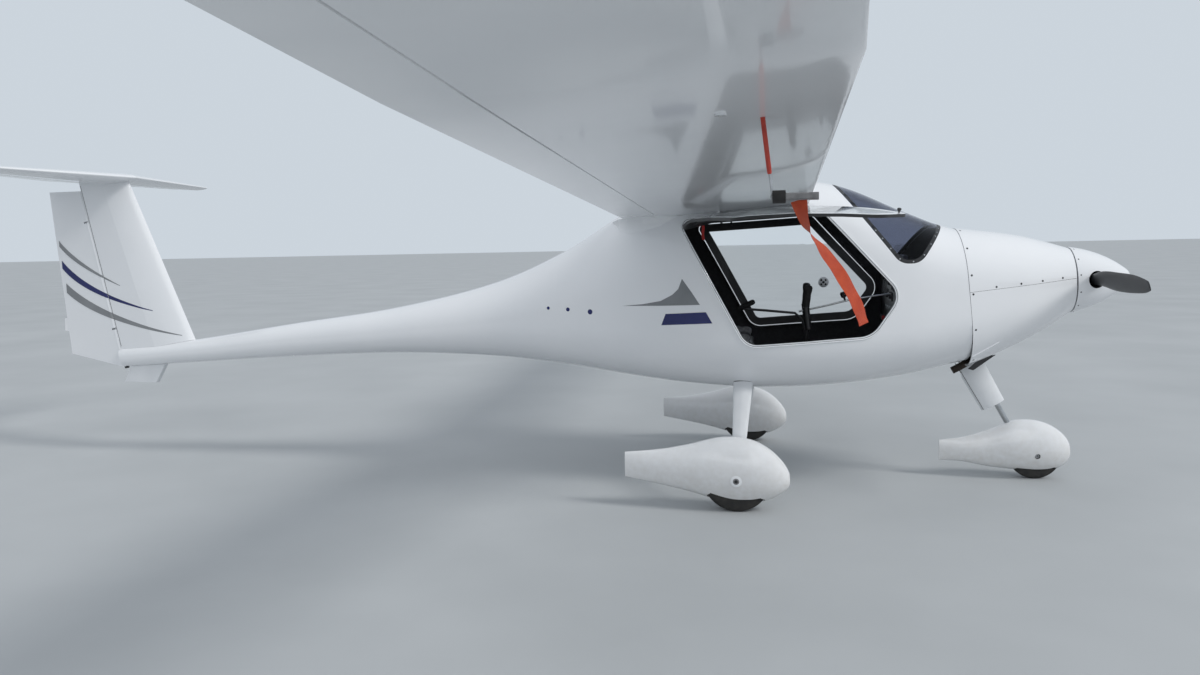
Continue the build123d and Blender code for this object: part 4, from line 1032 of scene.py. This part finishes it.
# Fixed tab on the rudder's edge and the black foot of its hinge
tab_corners = ((-4335, 800), (-4330, 895), (-4376, 885), (-4380, 806))
rings = [[place(x, y, z) for x, z in tab_corners] for y in (-1.2, 1.2)]
finish_piece(solid("rudder_tab", rings), white, "tail_rudder", smooth=False)
turned("rudder_hinge_cap", hinge_foot, hinge_up, ((-14, 10), (-12, 14), (-2, 14), (0, 12)),
       material=trim_black, body="tail_rudder")

# Dark seal where each leg enters the hull
leg_run = Vector((0, 716 - 380, 360 - 586)).normalized()
leg_normal = Vector((0, -leg_run.z, leg_run.y))
leg_middle, seal_half_chord, seal_half_thickness = Vector((18, 480, 518.7)), 47, 15.5
for side, way in sides:
    line = []
    for a in turns(32):
        p = leg_middle + forward * seal_half_chord * cos(a) + leg_normal * seal_half_thickness * sin(a)
        inwards = Vector((0, -leg_run.y * way, -leg_run.z))
        line.append(cabin_tree.ray_cast(place(p.x, p.y * way, p.z), inwards)[0])
    bead("leg_seal_" + side, line, 2.6, seal_rubber_and_shade, closed=True)

# Plugs over the main axles
for side, way in sides:
    out = sideways * way
    cover_tree = bvh(bpy.data.objects["cover_" + side])
    hit, _, _, _ = cover_tree.ray_cast(place(0, way * (track / 2 + 300), tyre_radius), -out)
    # Height of the foot, radius, rise, material and count of points
    for label, lift, radius, height, material, count in (
        ("ring", 0.0, 27, 4.0, white, 40),
        ("cap", 3.2, 15, 2.0, cover_grey, 28),
        ("plug", 4.6, 8.5, 1.6, trim_black, 20),
    ):
        studs(f"axle_{label}_{side}", [hit + out * lift * MM], [out], radius, height, material, count=count)

# Ribbon on the pitot cover: the flat cut, then the line that it hangs along and how it twists
ribbon_cut = (0.042, 0.348)
ribbon_line = ((240, 1394, 28), (251, 1351, 55), (267, 1315, 88), (288, 1286, 113), (322, 1240, 132),
               (355, 1187, 133), (381, 1134, 130), (394, 1093, 126))
ribbon_y = -2900.0
ribbon_columns = 8


def smooth_path(points, steps):
    """Points on cubic curves through a row of points."""
    result = []
    for i in range(len(points) - 1):
        near = (points[max(i - 1, 0)], points[i], points[i + 1], points[min(i + 2, len(points) - 1)])
        result += [tuple(eased(*values, k / steps) for values in zip(*near)) for k in range(steps)]
    return result + [points[-1]]


ribbon_rows = smooth_path(ribbon_line, 9)
ribbon_runs = runs([Vector((x, 0, z)) for x, z, _ in ribbon_rows], False)
verts, faces = [], []
for i, ((x, z, twist), run) in enumerate(zip(ribbon_rows, ribbon_runs)):
    run.normalize()
    flat_way = Vector((run.z, 0, -run.x)) * cos(radians(twist)) + sideways * sin(radians(twist))
    out = run.cross(flat_way)
    for k in range(ribbon_columns + 1):
        share = k / ribbon_columns - 0.5
        ripple = 1.4 * sin(i * 0.55 + k * 0.5) * (0.3 + abs(share))
        verts.append(place(x, ribbon_y, z) + (flat_way * share * ribbon_cut[0] / MM + out * ripple) * MM)
for i in range(len(ribbon_rows) - 1):
    for k in range(ribbon_columns):
        a = i * (ribbon_columns + 1) + k
        faces.append((a, a + 1, a + ribbon_columns + 2, a + ribbon_columns + 1))
ribbon = new_mesh("ribbon", verts, faces)
thicken(ribbon, 0.0006)
finish_piece(ribbon, orange_cloth, slot="ribbon_orange", replaces=("pitot_ribbon",))

# Pitot: sewn black band of its cover, the rod and its sleeve at the wing, and the head
cover_end, rod_top = place(178, ribbon_y, 1403), place(154, ribbon_y, 1600)
rod_way = cover_end - rod_top
turned("cover_band", cover_end, forward, ((0, 14.5), (1.5, 16), (30, 16), (31.5, 14.5)), 32, seal_rubber_and_shade)
turned("pitot_rod", rod_top, rod_way, ((0, 3.4), (199, 3.4), (200, 2.6)), 24, steel, slot="gear_steel",
       replaces=("pitot_probe",))
turned("pitot_sleeve", rod_top, rod_way, ((0, 6.0), (128, 6.0), (141, 5.4), (143, 3.6)), 24, red_paint)
turned("pitot_head", place(172, ribbon_y, 1403), forward, ((0, 3.5), (2, 5.5), (92, 5.5), (100, 3.5)), 24,
       steel)

# Nose leg: the fairing's seam, near its rear edge
strut_lean = 29
strut, strut_up, strut_back = place(1353, 0, 404), slanting(90 + strut_lean), -slanting(strut_lean)
for way in (1, -1):
    line = []
    for reach in spread(3, 290, 40):
        chord = 128 + 18 * reach / 340
        beside = Vector((0, way * 16.4, 0))
        line.append(strut + (strut_up * reach + strut_back * (20 + 0.43 * chord) + beside) * MM)
    bead(f"nose_leg_seam_{way}", line, 1.3, trim_black, count=8)

# Lip, strake and wall beside the outlet under the cowling
lower_tree = bvh(cowl_bottom)
ridge = ((1128, 655), (1139, 667), (1164, 694), (1197, 713), (1230, 732), (1263, 751), (1292, 768))
outlet_side = ((1180, 607), (1206, 600), (1316, 683), (1290, 678), (1222, 648))
for way in (1, -1):
    starts = [Vector((at(station), way * 0.116, -1)) for station in spread(1140, 1300, 20)]
    line, _ = on_skin([skin_hit(lower_tree, start, upwards) for start in starts])
    bead(f"outlet_lip_{way}", line, 5.5, white, slot="white_gelcoat")
    line, _ = skin_line(smooth_path(ridge, 5), cowl_tree, way)
    bead(f"outlet_strake_{way}", line, 5.0, white, slot="white_gelcoat")
    rings = [[place(x, way * y, z) for x, z in outlet_side] for y in (128, 134)]
    finish_piece(solid(f"outlet_wall_{way}", rings), trim_black)

# Small scoop under the belly: station, half width, drop
scoop_rings = []
for station, half, drop in ((915, 8, 4), (905, 14, 16), (880, 17, 22), (850, 15, 15), (828, 8, 5)):
    heights = [592 - (drop if a < pi else 6) * sin(a) for a in turns(20)]
    scoop_rings.append([place(station, half * cos(a), height) for a, height in zip(turns(20), heights)])
finish_piece(solid("belly_scoop", scoop_rings), trim_black)

# Vent in the left door's window, inside and outside, and the latch knob of the raised door
vent_hit, vent_normal = side_hit(bvh(nodes["door_left_glass"]), 470.0, 1043.0, 1)
for label, sign, reach in (("outside", 1, 0.0), ("inside", -1, -4.2)):
    face, out = vent_hit + vent_normal * reach * MM, vent_normal * sign
    studs("vent_disc_" + label, [face], [out], 31, 3.2, alloy, "door_left", count=40)
    studs("vent_boss_" + label, [face + out * 3.0 * MM], [out], 8, 3.0, trim_black, "door_left", count=20)
    along = upwards.cross(out).normalized()
    spokes = [upwards * cos(radians(a)) + along * sin(radians(a)) for a in (45, 135, 225, 315)]
    # The four holes are dark discs on the vent: painted shade, not openings
    holes = [face + (out * 2.6 + spoke * 18) * MM for spoke in spokes]
    studs("vent_holes_" + label, holes, [out] * 4, 6.5, 1.2, seal_rubber_and_shade, "door_left", count=18)
turned("door_latch_right", place(716, -958, 1410), (0.1, -0.11, 0.99),
       ((0, 4), (9, 4), (10, 8), (17, 9.5), (20, 8), (22, 4)), 28, trim_black, "door_right")

# Instrument panel: dials with ticks and needles, a blank screen, switches and knobs
panel_station = 800.0
aft = (-1, 0, 0)
dials = [(232 + dy, z, 38) for z in (1120, 1030) for dy in (-89, 0, 89)]
dials += [(-150 - 66 * k, z, 27) for z in (1120, 1050) for k in range(3)]
marks, mark_faces = [], []


def bar_mark(centre_y, centre_z, degrees, start, end, width, reach):
    """Flat white bar on a dial, from one radius to another."""
    angle = radians(degrees)
    radial, across = Vector((0, sin(angle), cos(angle))), Vector((0, cos(angle), -sin(angle)))
    first = len(marks)
    for r, w in ((start, -width), (start, width), (end, width), (end, -width)):
        marks.append(place(panel_station - reach, centre_y, centre_z) + (radial * r + across * w) * MM)
    mark_faces.append((first, first + 1, first + 2, first + 3))


for i, (y, z, radius) in enumerate(dials):
    centre = place(panel_station, y, z)
    bezel = ((0, radius + 5), (5, radius + 5), (7, radius + 2), (7, radius), (3, radius - 1), (3, 1))
    turned(f"bezel_{i}", centre, aft, bezel, material=bezel_grey)
    turned(f"dial_{i}", centre, aft, ((2.0, radius - 0.5), (3.6, radius - 1.5), (3.6, 0.5)),
           material=dial_black)
    for k in range(21):
        inner, half = (radius - 11, 0.8) if k % 5 == 0 else (radius - 8, 0.5)
        bar_mark(y, z, -135 + 13.5 * k, inner, radius - 4, half, 3.9)
    bar_mark(y, z, -110 + 23 * i, -6, radius - 9, 1.0, 4.4)
new_mesh("dial_marks", marks, mark_faces, dial_white, "airframe", smooth=False)

# Screen and radio: centre, size, radius of the corners, depth
for name, (y, z), (width, height), radius, depth, material in (
    ("screen_frame", (0, 1090), (186, 132), 12, 8, bezel_grey),
    ("screen_face", (0, 1094), (158, 100), 5, 8.8, screen_glass),
    ("radio", (0, 985), (168, 46), 4, 7, bezel_grey),
    ("radio_display", (-20, 988), (86, 18), 3, 7.8, screen_glass),
):
    corners = ((-1, -1), (1, -1), (1, 1), (-1, 1))
    outline = rounded_outline([(y + a * width / 2, z + b * height / 2, radius) for a, b in corners], 6)
    levels = ((0, outline), (depth * 0.7, outline), (depth, grown(outline, -depth * 0.3)))
    rings = [[place(panel_station - reach, p.x, p.y) for p in ring] for reach, ring in levels]
    finish_piece(solid(name, rings), material)
knob = ((0, 9), (12, 8.4), (14, 7))
switch = ((0, 6.5), (4, 6.5), (5, 2.6), (16, 3.4), (18, 2.2))
pull = ((0, 4), (34, 4), (36, 13), (46, 14), (50, 10))
for k, y in enumerate((-72, 48, 72)):
    turned(f"radio_knob_{k}", place(panel_station - 6, y, 985), aft, knob, 28, trim_black)
for k in range(8):
    tilted = (-1, 0, 0.5 if k % 3 else -0.5)
    turned(f"switch_{k}", place(panel_station, -112 + 32 * k, 925), tilted, switch, 20, steel)
for k, (y, material) in enumerate(((-40, belt_red), (40, trim_black))):
    turned(f"pull_{k}", place(panel_station, y, 872), aft, pull, 28, material)

# Levers on the centre line, and the grips of the sticks
flap_lever = ((-20, 924), (130, 912), (290, 897), (330, 860), (345, 790), (350, 640))
throttle_rod = ((310, 905), (450, 935), (600, 972), (799, 1000))
turned("flap_lever_grip", place(-28, 0, 918), (0.84, 0, 0.40),
       ((0, 9), (5, 14), (95, 15), (104, 12), (108, 6)), 28, foam)
bead("flap_lever", [place(x, 0, z) for x, z in flap_lever], 7, trim_black)
bead("throttle_rod", [place(x, 0, z) for x, z in throttle_rod], 5, steel)
turned("throttle_grip", place(560, 0, 962), (-0.3, 0, 1),
       ((0, 5), (18, 6), (24, 15), (44, 17), (52, 12)), 28, trim_black)
stick_grip = ((0, 14), (8, 16.5), (30, 16), (52, 17.5), (74, 17), (96, 21), (112, 21.5), (120, 17), (124, 8))
for way in (1, -1):
    turned(f"stick_grip_{way}", place(347, way * 150, 934), (0.10, 0, 1), stick_grip, 32, foam)

# Seats: a composite bucket with two sewn cushions
floor_height = 610.0
seat_middle, seat_half = 215.0, 180.0
bucket = ((-332, 2), (-362, 128), (-498, 560), (-486, 566), (-345, 205), (-300, 148), (44, 120), (56, 108),
          (56, 2))


def seat_bucket(name, way, node):
    """Bucket that is no wider than the cabin lets it be."""
    inner_side, outer_side = [], []
    for p in dense([Vector(corner) for corner in bucket], 30):
        z = floor_height + p.y
        reach = min(seat_middle + seat_half, half_width(p.x, z, wall) - 5)
        inner_side.append(place(p.x, way * (seat_middle - seat_half), z))
        outer_side.append(place(p.x, way * reach, z))
    obj = solid(name, [inner_side, outer_side])
    edge = obj.modifiers.new("edge", "BEVEL")
    edge.width = 0.004
    edge.segments = 3
    edge.limit_method = "ANGLE"
    apply_modifiers(obj)
    finish_piece(obj, trim_black, slot="seat_cloth", replaces=(node,))


def padded_form(name, length, width, thick, channels):
    """Cushion round the origin, in metres: a cloth simulation swells it, then it is sewn across."""
    swell, channel_width, channel_depth = 0.007, 0.006, 0.0065
    bm = bmesh.new()
    bmesh.ops.create_cube(bm, size=1.0)
    size = Vector((length - 2 * swell, width - 2 * swell, thick - 2 * swell))
    for v in bm.verts:
        v.co = Vector([c * s for c, s in zip(v.co, size)])
    bmesh.ops.bevel(bm, geom=bm.edges[:], offset=0.014, segments=4, profile=0.6, affect="EDGES")
    obj = from_bmesh(name, bm)
    remesh = obj.modifiers.new("remesh", "REMESH")
    remesh.mode = "VOXEL"
    remesh.voxel_size = 0.008
    apply_modifiers(obj)
    before = [v.co.copy() for v in obj.data.vertices]
    cloth = obj.modifiers.new("cloth", "CLOTH")
    cloth.settings.quality = 5
    cloth.settings.use_pressure = True
    cloth.settings.uniform_pressure_force = 4
    cloth.settings.effector_weights.gravity = 0
    for number in range(1, 21):
        scene.frame_set(number)
    apply_modifiers(obj)
    scene.frame_set(1)
    for v, old in zip(obj.data.vertices, before):
        move = v.co - old
        v.co = old + move * min(1.0, swell / max(move.length, 1e-9))
    for v in obj.data.vertices:
        offsets = [(v.co.x - (share - 0.5) * length) / channel_width for share in channels]
        depth = max(channel_depth / (1 + offset * offset) for offset in offsets)
        border = min(width / 2 - abs(v.co.y), length / 2 - abs(v.co.x))
        crown = min(1.0, max(0.0, border / 0.03))
        if v.co.z > 0:
            v.co.z -= depth * crown
    smoother = obj.modifiers.new("fine", "SUBSURF")
    smoother.levels = smoother.render_levels = 1
    apply_modifiers(obj)
    return obj


def laid(form, name, middle, along, up):
    """Copy of a cushion at its place on a seat."""
    data = form.data.copy()
    data.transform(axes(middle, along, up.cross(along), up))
    obj = link(name, data)
    finish_piece(obj, seat_cloth, slot="seat_cloth")


def webbing(name, middles, across, width, material):
    """Flat belt along a line, with one direction across it."""
    verts = [p + across * sign * width / 2 * MM for p in middles for sign in (-1, 1)]
    obj = new_mesh(name, verts, [(2 * i, 2 * i + 1, 2 * i + 3, 2 * i + 2) for i in range(len(middles) - 1)])
    thicken(obj, 0.0016)
    finish_piece(obj, material)


pan_form = padded_form("pan_form", 0.352, 0.35, 0.054, (0.3, 0.55, 0.8))
back_form = padded_form("back_form", 0.40, 0.35, 0.040, (0.25, 0.45, 0.65, 0.85))
pan_way = Vector((360, 0, -30)).normalized()
pan_up = Vector((30, 0, 360)).normalized()
back_way = Vector((-150, 0, 380)).normalized()
back_up = Vector((380, 0, 150)).normalized()
belt_width = 44
buckle_profile = ((0, 30), (5, 32), (11, 30), (12, 20), (15, 19), (15.5, 8))
for side, way in sides:
    seat_bucket("seat_bucket_" + side, way, "seat_" + side)
    y = way * seat_middle
    pan_middle = place(-118, y, floor_height + 193) - pan_up * 28 * MM
    back_middle = place(-378, y, floor_height + 406) - back_up * 21 * MM
    laid(pan_form, "seat_cushion_" + side, pan_middle, pan_way, pan_up)
    laid(back_form, "seat_back_" + side, back_middle, back_way, back_up)
    for label, dy in (("in", -70), ("out", 70)):
        line = []
        for share in spread(0, 1, 0.1):
            point = place(-452 + 152 * share, y + dy * (1 - 0.6 * share), floor_height + 596 - 372 * share)
            line.append(point + back_up * (4 + 2.5 * sin(share * pi)) * MM)
        webbing(f"shoulder_belt_{side}_{label}", line, sideways, belt_width, belt_grey)
    line = [place(-225 - 20 * share * share, y + 172 * share, floor_height + 209 - 14 * share**4)
            for share in spread(-1, 1, 0.2)]
    webbing("lap_belt_" + side, line, forward, belt_width, belt_grey)
    turned("buckle_" + side, place(-228, y, floor_height + 209), (0, 0, 1), buckle_profile, 32, steel)
for form in (pan_form, back_form):
    bpy.data.objects.remove(form)
line = [place(-181 + 2 * sin(k), -450, 1386 - 9.5 * k) for k in range(9)]
webbing("door_strap", line, forward, 14, belt_red)

# Carried-over solids get their materials
looks = (
    (white, "spinner wing_left wing_right fin rudder stabilizer elevator flaperon_left flaperon_right"),
    (bottom_browned_white, "pant_left pant_right nose_pant"),
    (leg_white, "tail_bumper main_leg_left main_leg_right nose_leg"),
    (carbon, "prop_blades"),
    (lining, "cabin_floor"),
    (trim_black, "instrument_panel control_stick"),
    (seat_cloth, "seat_left seat_right"),
    (alloy, "spar_tube rim_left rim_right nose_rim"),
    (engine_paint, "engine_block"),
    (rusty_steel, "exhaust_pipe"),
    (tinted, "windshield"),
    (clear, "door_left_glass door_right_glass"),
    (steel, "door_hinges nose_fork"),
    (tyre_rubber, "tyre_left tyre_right nose_tyre"),
    (red_paint, "pitot_probe"),
    (cover_grey, "pitot_cover"),
    (orange_cloth, "pitot_ribbon"),
)
for material, names in looks:
    for name in names.split():
        paint(nodes[name], material)

# Door frames: white outside, black elsewhere, with the raised one judged in its closed place
door_raise, door_hinge = radians(84), slanting(3)
closing = Matrix.Rotation(door_raise, 3, door_hinge)
for name, way, turn in (("door_left_frame", 1, Matrix.Identity(3)), ("door_right_frame", -1, closing)):
    paint(nodes[name], trim_black, white)
    for polygon in nodes[name].data.polygons:
        polygon.material_index = 1 if (turn @ polygon.normal).y * way > 0.35 else 0
for node in nodes.values():
    for polygon in node.data.polygons:
        polygon.use_smooth = True
    node.data.set_sharp_from_angle(angle=radians(30))
